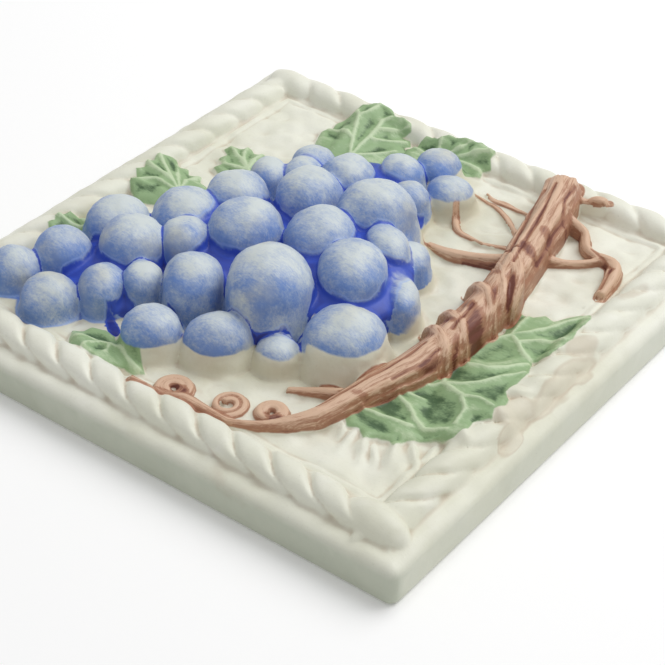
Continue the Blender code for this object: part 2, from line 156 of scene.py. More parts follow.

# Leaves: the outline, then the pale ribs and the dark hollows between them, each across and up. The points
# follow spots picked in the photograph. A sight line from the camera gave a spot's place on the
# ground, and most places were then moved by a millimetre or two.
LEAVES = (
    (
        ((50.1, -53), (51.2, -57.5), (53.4, -59.9), (57, -58.6), (60.7, -61.5), (63.5, -58.6), (67.2, -57.4),
         (69.8, -59.2), (71.4, -54.5), (75, -51.8), (78.5, -50), (83.4, -48.6), (85.6, -44.6), (84.4, -40),
         (88.2, -35.8), (87, -33), (88.6, -29.3), (87.4, -25.6), (84.6, -23), (85, -16.5), (84.2, -9.8),
         (80.2, -1), (84.6, 1), (85.4, 5.3), (86.4, 11.8), (85.4, 15.7), (85.2, 24.6), (81, 32), (77.4, 28.4),
         (73.6, 21.9), (70, 23.1), (67.2, 19.6), (63.2, 18.6), (62.4, 12.2), (64.8, 7.2), (63.6, 1.5),
         (63.1, -4.8), (64, -10.7), (61.2, -15.2), (62, -22.1), (61.6, -26.6), (59.6, -30.7), (58, -36.2),
         (55.4, -39.6), (52.4, -45.3), (52.4, -50.4)),
        (((60, -9), (63.5, -2.5), (65.8, 3.3), (68, 5.8), (71.5, 9.6), (74.8, 15.1), (77.6, 21.6),
          (81.5, 28)), ((68, 6), (66.9, 12), (66.8, 17.5)), ((68, 6), (72, 3.4), (76.1, 0.1), (80, -1.2)),
         ((72, 4), (75.9, 7.6), (80.7, 10.4), (84.5, 9.6)), ((61.8, -15.6), (67.5, -15.1), (72.6, -14.6),
         (76.9, -10.6), (80.4, -3.4)), ((56, -13.5), (60, -17.5), (63.4, -22.4), (65.6, -28.2)),
         ((65.6, -28), (71.4, -26.6), (75.6, -23.2), (79.6, -16.7), (83, -10.8)),
         ((65.8, -28.2), (70.8, -30.2), (75.6, -32), (80.4, -31), (86.2, -32.4)),
         ((65.4, -28.2), (62, -31), (60, -37)), ((57.1, -39.9), (63.5, -42.5), (69.1, -46.8), (73.1, -48.6),
         (79.6, -46.4)), ((65.2, -36.8), (60.4, -37.4), (57, -38.9)), ((75.4, -32.6), (79.4, -36.8),
         (80.4, -43)), ((52.7, -51.6), (58.5, -51.2), (62.8, -50.2), (69.4, -49.4))),
        (((64.9, -9.6), (64.6, -4.1), (67.3, 1.6), (71.8, 1.4), (75.2, -1.9), (73.4, -7), (69.5, -10.8)),
         ((64.5, -25.2), (62.5, -19.2), (65.4, -17.8), (70.4, -18.2), (76.1, -15.6), (78.6, -11.6),
          (77.4, -18.8), (73.6, -22.9), (69, -25.6)),
         ((60.2, -36), (62.6, -33), (65.4, -31), (69.6, -33), (75, -34.6), (77.9, -38.6), (78, -44.2),
          (73, -45.6), (68.8, -43.6), (66, -40.9), (67.6, -38)),
         ((52, -53.4), (55.4, -53), (62.1, -53.3), (66.4, -55), (60.7, -57.2), (54.9, -56.6)),
         ((74.5, 3.4), (77.7, 6.2), (80.8, 7.6), (83, 4.6), (79, 1.4)),
         ((74, 11), (77.4, 18.2), (80.4, 25), (82.6, 21), (83, 14.4), (78.5, 11.4)),
         ((75.5, -28.8), (78.4, -23.2), (82.6, -19), (84.6, -23.6), (85, -29.4), (79.6, -28.8)),
         ((82.6, -37.3), (86.4, -35.4), (86.4, -37.2), (84, -40)),
         ((68.3, -57.1), (68.1, -54.2), (70.2, -56)),
         ((64.9, 9), (63.8, 14.8), (65.4, 17.4), (65.8, 13.6), (66.4, 9.4)),
         ((55.6, -42.6), (60, -42.4), (65.6, -45.6), (66.6, -48.4), (60, -49.4), (55, -48.6)),
         ((70, -49.8), (74, -50), (78.3, -48.9), (74.8, -50.9))),
    ),
    (
        ((-51.4, 59.4), (-53.7, 64.4), (-55.4, 68.4), (-53, 71.8), (-54.4, 75.6), (-53, 80.3), (-50.8, 82.7),
         (-50, 86), (-46.5, 88.8), (-43.2, 90.4), (-38.6, 89.4), (-35.6, 86.6), (-31.6, 87), (-27.8, 86),
         (-26, 83.5), (-28.4, 81.6), (-25, 81.8), (-23.2, 79.6), (-24.2, 77), (-21.6, 75), (-22.4, 70.4),
         (-24.9, 68.2), (-24.5, 62), (-29, 56), (-42, 54)),
        (((-33, 56), (-37.9, 63.3), (-43, 73), (-45.7, 78.3), (-44.3, 82.3), (-43.4, 88)),
         ((-45.7, 78.3), (-50, 82.8)), ((-34.5, 58), (-36.3, 66), (-36.6, 73), (-37, 77.7), (-38, 82.1),
         (-36, 85.4)), ((-37, 77.7), (-33.5, 80.6), (-28, 84.4)), ((-36.4, 72), (-31, 75), (-25, 79.4)),
         ((-34.6, 60), (-29.6, 66), (-24.2, 72)), ((-40.4, 67.6), (-47, 69.4), (-53.4, 69.8))),
        (((-43.6, 64), (-50.4, 65.6), (-52.2, 68), (-46.5, 68)), ((-45.4, 73), (-52, 72.2), (-51.4, 79.6),
         (-48.4, 79)), ((-39, 68.4), (-42.4, 75.4), (-42, 80.4), (-39.4, 80), (-38.2, 73)),
         ((-47.6, 82), (-47.4, 85.4), (-45.4, 85.6), (-45.4, 82)),
         ((-41.9, 87.6), (-36.2, 86.5), (-38.6, 84.2)),
         ((-30.4, 84.6), (-27.3, 84), (-30.8, 82.4)), ((-34.8, 74.6), (-30, 77.6), (-33.6, 79)),
         ((-32.8, 64.4), (-31.6, 71), (-27.4, 72.4), (-29.4, 67.6))),
    ),
    (
        ((-21.9, 72.4), (-23.4, 77), (-21.4, 80.4), (-19.6, 84), (-15.1, 84.4), (-12.6, 87.6), (-8.9, 87.4),
         (-6, 90), (-2, 89), (0.6, 91), (3.8, 88.6), (7.4, 88.4), (7.4, 84.8), (9.6, 82.2), (7.2, 80.6),
         (8, 77.6), (4.8, 76), (2.8, 73.8), (-1.8, 75), (-8, 72), (-15.8, 70)),
        (((-12, 72), (-9, 80), (-5.4, 83.6), (-2.3, 88.2)), ((-10, 77), (-4, 81.4), (1.7, 84.6), (5.4, 86.8)),
         ((-9.6, 78), (-12.6, 82), (-14, 85)), ((-6.6, 79.6), (1, 80), (7, 80.2)), ((-12, 76), (-17, 77.4),
         (-21, 78.4))),
        (((-5, 86.1), (-0.9, 88), (-1.8, 85)), ((-2.4, 77), (5.6, 78.4), (5.4, 76.4), (2, 75.4)),
         ((4, 84.2), (7, 84.6), (8, 82.6), (3, 81.8)), ((-19, 80.4), (-15, 82.6), (-13, 80.6), (-16.6, 78.6)),
         ((-11, 85.6), (-7, 86.4), (-8.4, 83.4))),
    ),
    (
        ((-81.7, -5.4), (-84, -3), (-82.6, -0.9), (-85.4, 2), (-84, 5), (-86, 7.6), (-84.6, 10), (-86, 14),
         (-83.7, 16.5), (-82, 19.4), (-79, 17.4), (-75.8, 18.6), (-73.4, 16), (-68.9, 17.6), (-67, 14.6),
         (-62.4, 13.6), (-62, 8), (-64, 2), (-68, -5), (-76, -9)),
        (((-68, 4), (-77.3, 9.2), (-84.4, 13.4)), ((-67, 3), (-76.9, 2.6), (-83.4, -2.6)),
         ((-68, 5), (-74, 11), (-79.6, 17)), ((-68, 6), (-70.4, 11), (-68.4, 16)), ((-73, 6.4), (-80, 6.4),
         (-85, 7.2))),
        (((-83, 11.4), (-77, 8.2), (-77.4, 7), (-82.2, 8.2)), ((-83.4, 15.4), (-81, 17.6), (-75.2, 12.4),
         (-77.6, 11.4)), ((-75, 15.6), (-71.4, 15.4), (-70.4, 11.8)), ((-82.6, 3.4), (-76.8, 4.6),
         (-76.6, 3.6), (-82, 0.6)), ((-81, -3.4), (-74, 0.6), (-73, -3), (-78.4, -6.4))),
    ),
    (
        ((-65.9, 22.9), (-70, 25), (-69, 28.6), (-72.6, 31), (-71.6, 34.6), (-75.4, 37), (-73.6, 40.3),
         (-70.5, 40.6), (-67.4, 43), (-64.4, 41), (-59.4, 42.6), (-57.1, 39.8), (-52.5, 39), (-50, 30.7),
         (-57, 22)),
        (((-57, 29), (-64, 33.6), (-73, 38.4)), ((-58, 30), (-60.4, 36), (-60.6, 41)), ((-59, 29), (-66, 28),
         (-71, 29.6)), ((-62, 32.6), (-66, 37), (-67.4, 41))),
        (((-72.4, 36.2), (-69.5, 34), (-63.3, 30.8), (-66.7, 30)), ((-69.1, 39.6), (-65, 35), (-67.6, 36)),
         ((-64.4, 39.4), (-62.4, 37), (-62.6, 34.6)), ((-67, 26.6), (-61, 27.6), (-61, 25.6))),
    ),
    (
        ((-83, -43.4), (-85.8, -41.2), (-85, -38.6), (-87, -36.4), (-84.8, -34), (-85, -31), (-82.2, -29.6),
         (-81, -27), (-76, -28), (-74, -36), (-78, -42)),
        (((-76, -33), (-81, -35), (-86, -36.4)), ((-76, -32), (-80, -30), (-83, -30))),
        (((-84, -40.4), (-83.6, -37), (-78, -36.4), (-79, -40)),
         ((-83.6, -33.6), (-79.4, -32.6), (-82.4, -31))),
    ),
    (
        ((-39.9, -79), (-42, -75.6), (-39.4, -73.6), (-38.6, -70.4), (-34, -68.6), (-29.4, -69.4),
         (-27.4, -71.4), (-24.3, -70), (-21, -68.4), (-16.4, -70.3), (-14.9, -73.6), (-9.6, -77.6),
         (-12.4, -80.4), (-16.4, -79.6), (-19.8, -82.2), (-24, -83.4), (-29, -84), (-33, -83), (-37.4, -82)),
        (((-37.4, -79), (-33.3, -77.4), (-30, -75.8), (-26.9, -74.6), (-24.5, -79)), ((-26.9, -74.4),
         (-21.9, -74.9), (-16.4, -77), (-11.6, -78.4)), ((-29.4, -76.4), (-30.4, -80), (-30.4, -83.4))),
        (((-39.6, -75.6), (-38.2, -72.7), (-34.5, -70.7), (-30.4, -71.7), (-28.7, -73.4), (-31.5, -75),
          (-34.8, -76.4), (-38, -77.2)), ((-24.8, -72.8), (-21.8, -70.8), (-16.7, -72.2), (-14.6, -75),
         (-18.9, -75), (-22.4, -73.4)), ((-28, -78), (-26, -77.6), (-26.4, -81.4), (-28.6, -81))),
    ),
)
# Deep grooves between the straps of bark, and the dark seam at the vine's left foot
BARK_GROOVES = (
    ((44.6, 80), (45.7, 76.4), (47, 69.2), (51.6, 61), (53, 53), (55.6, 44), (57.6, 36)),
    ((40, 75), (42, 68), (45, 60), (47.6, 50), (50.6, 38), (53.4, 28)),
    ((37.4, 72), (39.4, 62), (43, 52), (46, 42), (48.6, 33)), ((56, 64.9), (52.6, 60.4)),
    ((55.6, 2), (56.8, -5), (57.6, -12)), ((54.6, -22), (53.6, -31), (50.6, -41), (47.4, -51), (43.8, -62)),
    ((59.6, -22), (59, -30), (55.4, -40)),
    ((33, 30.4), (41, 32.6), (50, 36.2)), ((64, 60), (70, 57.4), (75, 53.6), (77, 44)),
)
# Teeth of the great leaf and of the front leaf that were left unpainted: middle, half length, half width,
# bearing and height
BARE_TEETH = (
    (87, -21, 7, 3.2, 15, 1.4), (90, -32, 6.5, 3.4, -10, 1.5), (84.5, -46, 6, 2.4, -30, 1.5),
    (79.5, -53, 6.5, 2.0, -75, 1.2), (76, -57.5, 7, 1.7, -48, 1.5), (70.5, -59.5, 8, 2.0, -72, 1.5),
    (66.5, -64, 5.5, 1.5, -50, 1.0), (62.5, -64, 7.5, 2.1, -64, 1.5), (57.0, -63, 6.5, 1.6, -84, 1.2),
    (53.0, -61, 4.5, 1.3, -66, 0.8), (89, -11, 6, 3.2, 50, 1.3),
)

# Dark brown on the vine, painted shade by the bands and in the coils and stain elsewhere: middle, half
# length, half width and bearing in degrees, then the strength
VINE_SHADE_AND_STAIN = (
    (53.5, 37, 5.0, 2.0, -25, 0.9), (59.9, 17, 6.5, 1.2, -64, 1.3), (60.9, -4.5, 7.0, 2.6, -66, 1.15),
    (60.2, -28, 4.6, 1.3, 78, 0.7), (55, 1.5, 5.0, 1.8, -20, 0.7), (58, 10, 5.0, 1.0, -60, 0.8),
    (50, 21.5, 4.0, 1.4, -20, 0.6), (53, -8.2, 4.5, 1.2, -10, 0.7), (62, -16.5, 4.5, 1.0, -60, 0.7),
    (47.0, 54, 7, 0.8, -72, 0.5), (52.5, 49, 3, 2.0, -30, 0.7), (45.5, 74, 7, 0.8, -68, 0.45),
    (34.5, -70.5, 3.2, 2.0, 0, 1.0), (4.5, -77.5, 3.6, 1.6, 0, 1.0), (75.5, 53, 1.6, 1.0, 60, 0.8),
    (51, -50.5, 3.0, 1.2, 20, 0.4),
)
# Blue that ran out of the bunch: at the foot of the great grape and at the lower left. These pools and those
# below are given as the vine's are.
BLUE_POOLS = ((14.7, -46.3, 10.0, 2.2, 21, 1.0), (-33.6, -66.0, 6.2, 2.2, -34, 1.0))
# Thin khaki wash on the far ground, between the bunch and the top of the vine
FAR_WASH = ((27, 60, 30, 17, 125, 0.62), (-30, 74, 20, 8, 10, 0.35))
# Painted shade, dark green, on the leaf where it lies against the foot of the vine
SHADE_DARKS = (
    (59.2, -24, 4.2, 1.5, -70, 1.0), (55.0, -44.5, 5.0, 1.5, 62, 1.0), (50, -52, 4.0, 1.2, 50, 0.8),
)
# Tan stains on the border, where glaze crawled and tea-coloured water dried
STAINS = (
    (95.5, -5, 20, 5.5, 90, 0.8), (98.0, -12, 11, 3.2, 90, 0.7), (91, -27, 8, 5, 80, 0.5),
    (90.0, 12, 8, 4.0, 80, 0.4), (95.5, -36.5, 6.5, 3.0, 100, 1.0), (99.0, -43.0, 3.2, 1.2, 80, 0.6),
    (97, 28, 4, 1.8, 60, 0.5), (88, 45, 10, 3.0, 80, 0.35), (83, 4, 9, 2.5, 95, 0.2),
    (80, -40, 8, 3, 60, 0.15),
)

# Where the camera stood, found from the slab's corners and edges in the photograph
CAMERA_AZIMUTH = math.radians(37.14)
CAMERA_ELEVATION = math.radians(36.87)
CAMERA_ROLL = math.radians(0.65)
CAMERA_TARGET = (0.0108, -0.0108, 0.0)
CAMERA_DISTANCE = 0.6102
CAMERA_LENS = 101.7
SENSOR_WIDTH = 36.0

FLOOR_SIZE = 6.0
FLOOR_GAP = 0.0002
PAPER_WHITE = 0.93
# Soft lights: name, place, width in metres and power in watts
LIGHTS = (
    ("key_softbox", (0.30, 0.72, 1.18), 1.2, 14.6),
    ("front_fill", (-0.9, -0.9, 0.9), 1.4, 0.8),
)
SKY_STRENGTH = 0.46

FORMS = "tile_forms"


def glaze_tint(red, green, blue):
    """A colour as it is seen on the fired tile, each part from 0 to 255, as the shader needs it."""
    values = []
    for part in (red, green, blue):
        share = part / 255
        values.append(share / 12.92 if share <= 0.04045 else ((share + 0.055) / 1.055) ** 2.4)
    return tuple(values)


def measure(name, description, default):
    """A length that the user can change, in metres."""
    return bpy.props.FloatProperty(name=name, description=description, default=default, unit="LENGTH")


def paint(name, description, red, green, blue):
    """A colour that the user can change, as it is seen on the fired tile."""
    return bpy.props.FloatVectorProperty(name=name, description=description, subtype="COLOR",
                                         default=glaze_tint(red, green, blue))


class TileSizes(bpy.types.PropertyGroup):
    """Sizes of the slab, its border and its relief"""
    ground_height: measure("Ground Height", "Thickness of the slab under the relief", 0.0134)
    corner_radius: measure("Corner Radius", "Rounding of the slab's four corners", 0.0030)
    arris_radius: measure("Front Edge Radius", "Rounding of the slab's front edge", 0.0040)
    back_chamfer: measure("Back Chamfer", "Small chamfer round the back face", 0.0008)
    root_depth: measure("Root Depth", "How far each form runs down into the slab", 0.0030)
    rope_inset: measure("Rope Inset", "Flat ledge outside the rope", 0.0062)
    rope_width: measure("Rope Width", "Width of the rope border", 0.0118)
    rope_height: measure("Rope Height", "Height of the rope above the ground", 0.0060)
    strand_pitch: measure("Strand Pitch", "Length of one strand along the rope", 0.0138)
    first_strand: measure("First Strand", "Where the first dividing line stands on the rope", 0.0036)
    corner_length: measure("Corner Strand", "Length of the long strand at a corner", 0.0240)
    corner_width: measure("Corner Strand Width", "Width of the long strand at a corner", 0.0128)
    corner_reach: measure("Corner Reach", "How far a corner strand passes the outside of the rope", 0.0026)
    fusing_step: measure("Fusing Step", "Grain of the body that fuses the forms", 0.00052)
    face_count: bpy.props.IntProperty(
        name="Faces", description="Triangles left in the finished casting", default=192000)


class TileColours(bpy.types.PropertyGroup):
    """Colours of the glaze and of the painting under it"""
    cream: paint("Cream Glaze", "Clean glaze", 237, 237, 224)
    khaki: paint("Khaki Wash", "Thin shade under the grapes", 203, 197, 171)
    tan: paint("Tan Stain", "Stain in the grooves", 176, 148, 118)
    grape_pale: paint("Pale Grape", "Crown of a grape", 208, 216, 216)
    grape_mid: paint("Brushed Blue", "Brushed blue on a grape", 100, 136, 202)
    cobalt: paint("Cobalt", "Pooled blue between grapes", 42, 78, 190)
    cobalt_deep: paint("Deep Cobalt", "Deepest pools", 18, 38, 138)
    vine_light: paint("Light Vine", "Worn crest of the vine", 216, 180, 152)
    vine_mid: paint("Brown Vine", "Brushed brown", 166, 114, 86)
    vine_dark: paint("Dark Vine", "Brown in the grooves", 104, 36, 16)
    leaf_pale: paint("Pale Leaf", "Ribs of a leaf", 196, 214, 176)
    leaf_mid: paint("Green Leaf", "Blade of a leaf", 145, 175, 127)
    leaf_dark: paint("Dark Leaf", "Hollows of a leaf", 58, 92, 54)


def deselect():
    bpy.ops.object.select_all(action="DESELECT")


def pick_edges(form, test):
    """Select the edges of the form in edit mode whose two ends pass a test."""
    bpy.ops.mesh.select_mode(type="EDGE")
    bpy.ops.mesh.select_all(action="DESELECT")
    mesh = bmesh.from_edit_mesh(form.data)
    for edge in mesh.edges:
        if test(edge.verts[0].co, edge.verts[1].co):
            edge.select_set(True)
    bmesh.update_edit_mesh(form.data)


def place_ring(form, old_ring, new_ring):
    """Move the selected corners from one ring of points to the next."""
    mesh = bmesh.from_edit_mesh(form.data)
    for vert in mesh.verts:
        if vert.select:
            nearest = min(range(len(old_ring)), key=lambda k: (vert.co - old_ring[k]).length_squared)
            vert.co = new_ring[nearest]
    bmesh.update_edit_mesh(form.data)


def extruded_bar(name, rings):
    """A closed bar: a disc set on the first ring and extruded from ring to ring."""
    count = len(rings[0])
    deselect()
    bpy.ops.mesh.primitive_circle_add(vertices=count, radius=1.0, fill_type="NGON", location=(0, 0, 0))
    bar = bpy.context.object
    bar.name = name
    disc = [vert.co.copy() for vert in bar.data.vertices]
    bpy.ops.object.mode_set(mode="EDIT")
    bpy.ops.mesh.select_mode(type="FACE")
    bpy.ops.mesh.select_all(action="SELECT")
    place_ring(bar, disc, rings[0])
    for old_ring, new_ring in zip(rings, rings[1:]):
        bpy.ops.mesh.extrude_region_move(TRANSFORM_OT_translate={"value": (0, 0, 0)})
        place_ring(bar, old_ring, new_ring)
    bpy.ops.mesh.select_all(action="SELECT")
    bpy.ops.mesh.normals_make_consistent(inside=False)
    bpy.ops.object.mode_set(mode="OBJECT")
    keep_form(bar)
    return bar


def keep_form(form):
    """Put a finished form with the others that will be fused."""
    forms = bpy.data.collections.get(FORMS)
    for collection in list(form.users_collection):
        collection.objects.unlink(form)
    forms.objects.link(form)


def own_copy(master, name):
    """A copy of a form with its own mesh."""
    deselect()
    master.select_set(True)
    bpy.context.view_layer.objects.active = master
    bpy.ops.object.duplicate(linked=False)
    copy = bpy.context.object
    copy.name = name
    return copy


def move_points(form, move):
    """Set every corner of a form by a function of all of them at once."""
    points = np.empty(len(form.data.vertices) * 3)
    form.data.vertices.foreach_get("co", points)
    form.data.vertices.foreach_set("co", move(points.reshape(-1, 3)).ravel())
    form.data.update()


def smooth_run(stations, per_span):
    """Stations of any width, with smooth ones put between them."""
    known = np.array(stations, dtype=float)
    padded = np.vstack((2 * known[0] - known[1], known, 2 * known[-1] - known[-2]))
    run = []
    for i in range(len(known) - 1):
        before, start, end, after = padded[i:i + 4]
        for k in range(per_span):
            t = k / per_span
            bend = (2 * before - 5 * start + 4 * end - after) * t ** 2
            turn = (3 * start - before - 3 * end + after) * t ** 3
            run.append(0.5 * (2 * start + (end - before) * t + bend + turn))
    run.append(known[-1])
    return np.array(run).tolist()


def rope_bed(x, y, sizes):
    """How far the rope border stands above the ground, in metres."""
    half = sizes.rope_width / 2
    across = (TILE_SIDE / 2 - max(abs(x), abs(y)) - sizes.rope_inset - half) / half
    return sizes.rope_height * math.sqrt(max(0.0, 1 - across * across))


def branch_rings(run, sizes, sides, bedded=False, lobes=0, lobe_depth=0.0):
    """Rings of a half-round branch with straight sides that run down into the slab.

    A bedded branch lies on the rope border where it crosses it, and a lobed one is ribbed like old wood.
    """
    spots = [Vector((a * UNIT, u * UNIT, 0)) for a, u, _, _ in run]
    rings = []
    travelled = 0.0
    for i, (_, _, crown, width) in enumerate(run):
        heading = (spots[min(i + 1, len(spots) - 1)] - spots[max(i - 1, 0)]).normalized()
        side = Vector((-heading.y, heading.x, 0))
        if i:
            travelled += (spots[i] - spots[i - 1]).length / UNIT
        half = width * UNIT / 2
        top = crown * UNIT
        if bedded:
            top += rope_bed(spots[i].x, spots[i].y, sizes)
        spring = max(top - half, 0.2 * top)
        ring = []
        for k in range(sides):
            angle = math.pi * k / (sides - 1)
            swell = 1.0 + lobe_depth * math.cos(lobes * angle + 0.5 * math.sin(travelled / 9))
            level = sizes.ground_height + spring + (top - spring) * math.sin(angle) * swell
            ring.append(spots[i] + half * math.cos(angle) * swell * side + Vector((0, 0, level)))
        for direction in (-1, 1):
            foot = spots[i] + direction * FOOT_SPREAD * half * side
            ring.append(Vector((foot.x, foot.y, sizes.ground_height - sizes.root_depth)))
        rings.append(ring)
    return rings


class TILE_OT_slab(bpy.types.Operator):
    """Model the plain slab with rounded corners and a soft front edge"""
    bl_idname = "tile.slab"
    bl_label = "Slab"

    def execute(self, context):
        sizes = context.scene.tile_sizes
        height = sizes.ground_height
        deselect()
        bpy.ops.mesh.primitive_cube_add(size=1.0, location=(0, 0, 0))
        slab = context.object
        slab.name = "slab"
        bpy.ops.object.mode_set(mode="EDIT")
        bpy.ops.mesh.select_all(action="SELECT")
        bpy.ops.transform.resize(value=(TILE_SIDE, TILE_SIDE, height))
        bpy.ops.transform.translate(value=(0, 0, height / 2))
        pick_edges(slab, lambda a, b: abs(a.z - b.z) > height / 2)
        bpy.ops.mesh.bevel(offset=sizes.corner_radius, segments=5, profile=0.5, affect="EDGES")
        pick_edges(slab, lambda a, b: min(a.z, b.z) > height / 2)
        bpy.ops.mesh.bevel(offset=sizes.arris_radius, segments=5, profile=0.5, affect="EDGES")
        pick_edges(slab, lambda a, b: max(a.z, b.z) < sizes.back_chamfer / 2)
        bpy.ops.mesh.bevel(offset=sizes.back_chamfer, segments=1, affect="EDGES")
        bpy.ops.object.mode_set(mode="OBJECT")
        keep_form(slab)
        return {"FINISHED"}


class TILE_OT_rope(bpy.types.Operator):
    """Model the rope border: a run of slanted strands on each side and a long strand at each corner"""
    bl_idname = "tile.rope"
    bl_label = "Rope Border"

    def execute(self, context):
        sizes = context.scene.tile_sizes
        outer = TILE_SIDE / 2 - sizes.rope_inset
        half_width = sizes.rope_width / 2
        start = sizes.rope_width - outer
        end = outer + sizes.corner_reach - sizes.corner_length
        count = round((end - start) / sizes.strand_pitch)
        pitch = (end - start) / count
        ground = sizes.ground_height
        root = ground - sizes.root_depth
        steps = 14
        sides = 20
        lean = 0.85
        rings = []

        def station_at(k, across):
            """Where a dividing line stands along the rope: it leans, then runs out along the outer foot."""
            hook = 0.5 * pitch * max(across, 0) ** 6 * min(1.0, 1 + k / steps)
            return start + sizes.first_strand + pitch * k / steps + half_width * lean * across + hook

        # One strand more is run before the first, and it fades into the corner. Each strand swells along its
        # length, and sinks and narrows at its dividing lines.
        for k in range(-steps, count * steps + 1):
            share = k / steps % 1.0
            fade = min(1.0, 1.0 + 0.6 * k / steps)
            gap = min(share, 1 - share)
            swell = 1.0 - 0.10 * (2 * share - 1.0) ** 2 - 0.20 * math.exp(-((gap / 0.12) ** 2))
            swell -= 0.14 * math.exp(-((gap / 0.04) ** 2))
            spread = 1.0 - 0.13 * math.exp(-((gap / 0.13) ** 2))
            section = []
            for j in range(sides + 1):
                angle = math.pi * j / sides
                level = ground + fade * swell * sizes.rope_height * math.sin(angle) ** 0.85
                section.append((math.cos(angle), level))
            section += [(-1, root), (1, root)]
            ring = []
            for across, level in section:
                place = outer - half_width + spread * across * half_width
                ring.append(Vector((station_at(k, across), -place, level)))
            rings.append(ring)
        run = extruded_bar("rope_run", rings)

        deselect()
        bpy.ops.mesh.primitive_uv_sphere_add(segments=32, ring_count=18, radius=1.0, location=(0, 0, 0))
        corner = context.object
        corner.name = "corner_strand"
        bpy.ops.object.mode_set(mode="EDIT")
        bpy.ops.mesh.select_all(action="SELECT")
        crown = sizes.rope_height + CORNER_PROUD
        bpy.ops.transform.resize(value=(sizes.corner_length / 2, sizes.corner_width / 2, crown))
        bpy.ops.transform.rotate(value=CORNER_LEAN, orient_axis="Z", center_override=(0, 0, 0))
        bpy.ops.transform.translate(value=(end + sizes.corner_length / 2, half_width - outer, ground))
        bpy.ops.object.mode_set(mode="OBJECT")
        keep_form(corner)

        for side in range(1, 4):
            turn = np.array(Matrix.Rotation(side * math.pi / 2, 3, "Z"))
            for master in (run, corner):
                copy = own_copy(master, f"{master.name}_{side}")
                move_points(copy, lambda points: points @ turn.T)
        return {"FINISHED"}


def grape_spread(index):
    """How much wider a grape's skirt is at its root than at its dome."""
    return 1.12 if index in LOW_GRAPES + STEEP_GRAPES else 1.30


def dome_rise(dome, half, crown):
    """How far a dome rises above its rim: a share of its half width, and less than its crown."""
    return min(dome * half, 0.95 * crown)


def shape_grape(points, grape, dome, spread, sizes):
    """Turn the master's points into one grape: an oval dome over a skirt that widens to its root."""
    across, up, crown, width, length, bearing = grape
    half = width / 2
    rise = dome_rise(dome, half, crown)
    skirt = crown - rise + sizes.root_depth / UNIT
    turn = math.radians(bearing)
    above = np.maximum(points[:, 2], 0)
    below = np.maximum(-points[:, 2], 0)
    wide = 1 + (spread - 1) * below
    u = points[:, 0] * wide * length / 2
    v = points[:, 1] * wide * half
    x = across + u * math.cos(turn) - v * math.sin(turn)
    y = up + u * math.sin(turn) + v * math.cos(turn)
    z = crown - rise + above * rise - below * skirt
    return np.column_stack((x, y, z)) * UNIT + np.array((0, 0, sizes.ground_height))


class TILE_OT_grapes(bpy.types.Operator):
    """Model one grape, copy it over the bunch, and heap clay under the gaps"""
    bl_idname = "tile.grapes"
    bl_label = "Grapes"

    def execute(self, context):
        sizes = context.scene.tile_sizes
        deselect()
        bpy.ops.mesh.primitive_uv_sphere_add(segments=40, ring_count=28, radius=1.0, location=(0, 0, 0))
        master = context.object
        master.name = "grape"
        bpy.ops.object.mode_set(mode="EDIT")
        bpy.ops.mesh.select_all(action="SELECT")

        # Cut just above the equator, and draw the rim down to a skirt of unit height
        bpy.ops.mesh.bisect(plane_co=(0, 0, 0.001), plane_no=(0, 0, 1), clear_inner=True, use_fill=False)
        pick_edges(master, lambda a, b: max(a.z, b.z) < 0.002)
        bpy.ops.mesh.extrude_region_move(TRANSFORM_OT_translate={"value": (0, 0, -1.001)})
        bpy.ops.mesh.edge_face_add()
        bpy.ops.object.mode_set(mode="OBJECT")
        keep_form(master)
        items = [(grape, GRAPE_DOME, grape_spread(i)) for i, grape in enumerate(GRAPES)]
        items += [(heap, HEAP_DOME, 1.0) for heap in HEAPS]
        for i, (grape, dome, spread) in enumerate(items):
            copy = own_copy(master, f"grape_{i + 1}")
            move_points(copy, lambda points: shape_grape(points, grape, dome, spread, sizes))
        bpy.data.objects.remove(master)
        return {"FINISHED"}


class TILE_OT_vine(bpy.types.Operator):
    """Model the vine, its shoots and the tendril bands that cross it"""
    bl_idname = "tile.vine"
    bl_label = "Vine"

    def execute(self, context):
        sizes = context.scene.tile_sizes
        extruded_bar("vine", branch_rings(smooth_run(VINE, 6), sizes, 21, lobes=7, lobe_depth=0.05))
        for i, stations in enumerate(SHOOTS):
            extruded_bar(f"shoot_{i + 1}", branch_rings(smooth_run(stations, 6), sizes, 11, bedded=True))
        foot = 0.8
        for i, (left, crest, right, width) in enumerate(BANDS):
            crown = min(VINE, key=lambda station: abs(station[1] - crest[1]))[2] + BAND_PROUD
            stations = []
            for across, up, bow in band_curve(left, crest, right, 18):
                stations.append((across, up, foot + (crown - foot) * bow ** 0.4, width))
            extruded_bar(f"band_{i + 1}", branch_rings(stations, sizes, 11))
        return {"FINISHED"}


class TILE_OT_coils(bpy.types.Operator):
    """Model the three curled tendril ends"""
    bl_idname = "tile.coils"
    bl_label = "Tendril Coils"

    def execute(self, context):
        sizes = context.scene.tile_sizes
        for i, coil in enumerate(COILS):
            half = coil[5] / 2
            centres = [Vector((across, up, COIL_LEVEL)) for across, up in coil_curve(*coil, 22)]
            last = len(centres) - 1
            rings = []
            for k, centre in enumerate(centres):
                heading = (centres[min(k + 1, last)] - centres[max(k - 1, 0)]).normalized()
                side = Vector((-heading.y, heading.x, 0))
                ring = []
                for j in range(12):
                    angle = 2 * math.pi * j / 12
                    point = centre + half * (math.cos(angle) * side + Vector((0, 0, math.sin(angle))))
                    ring.append(point * UNIT + Vector((0, 0, sizes.ground_height)))
                rings.append(ring)
            extruded_bar(f"coil_{i + 1}", rings)
        return {"FINISHED"}


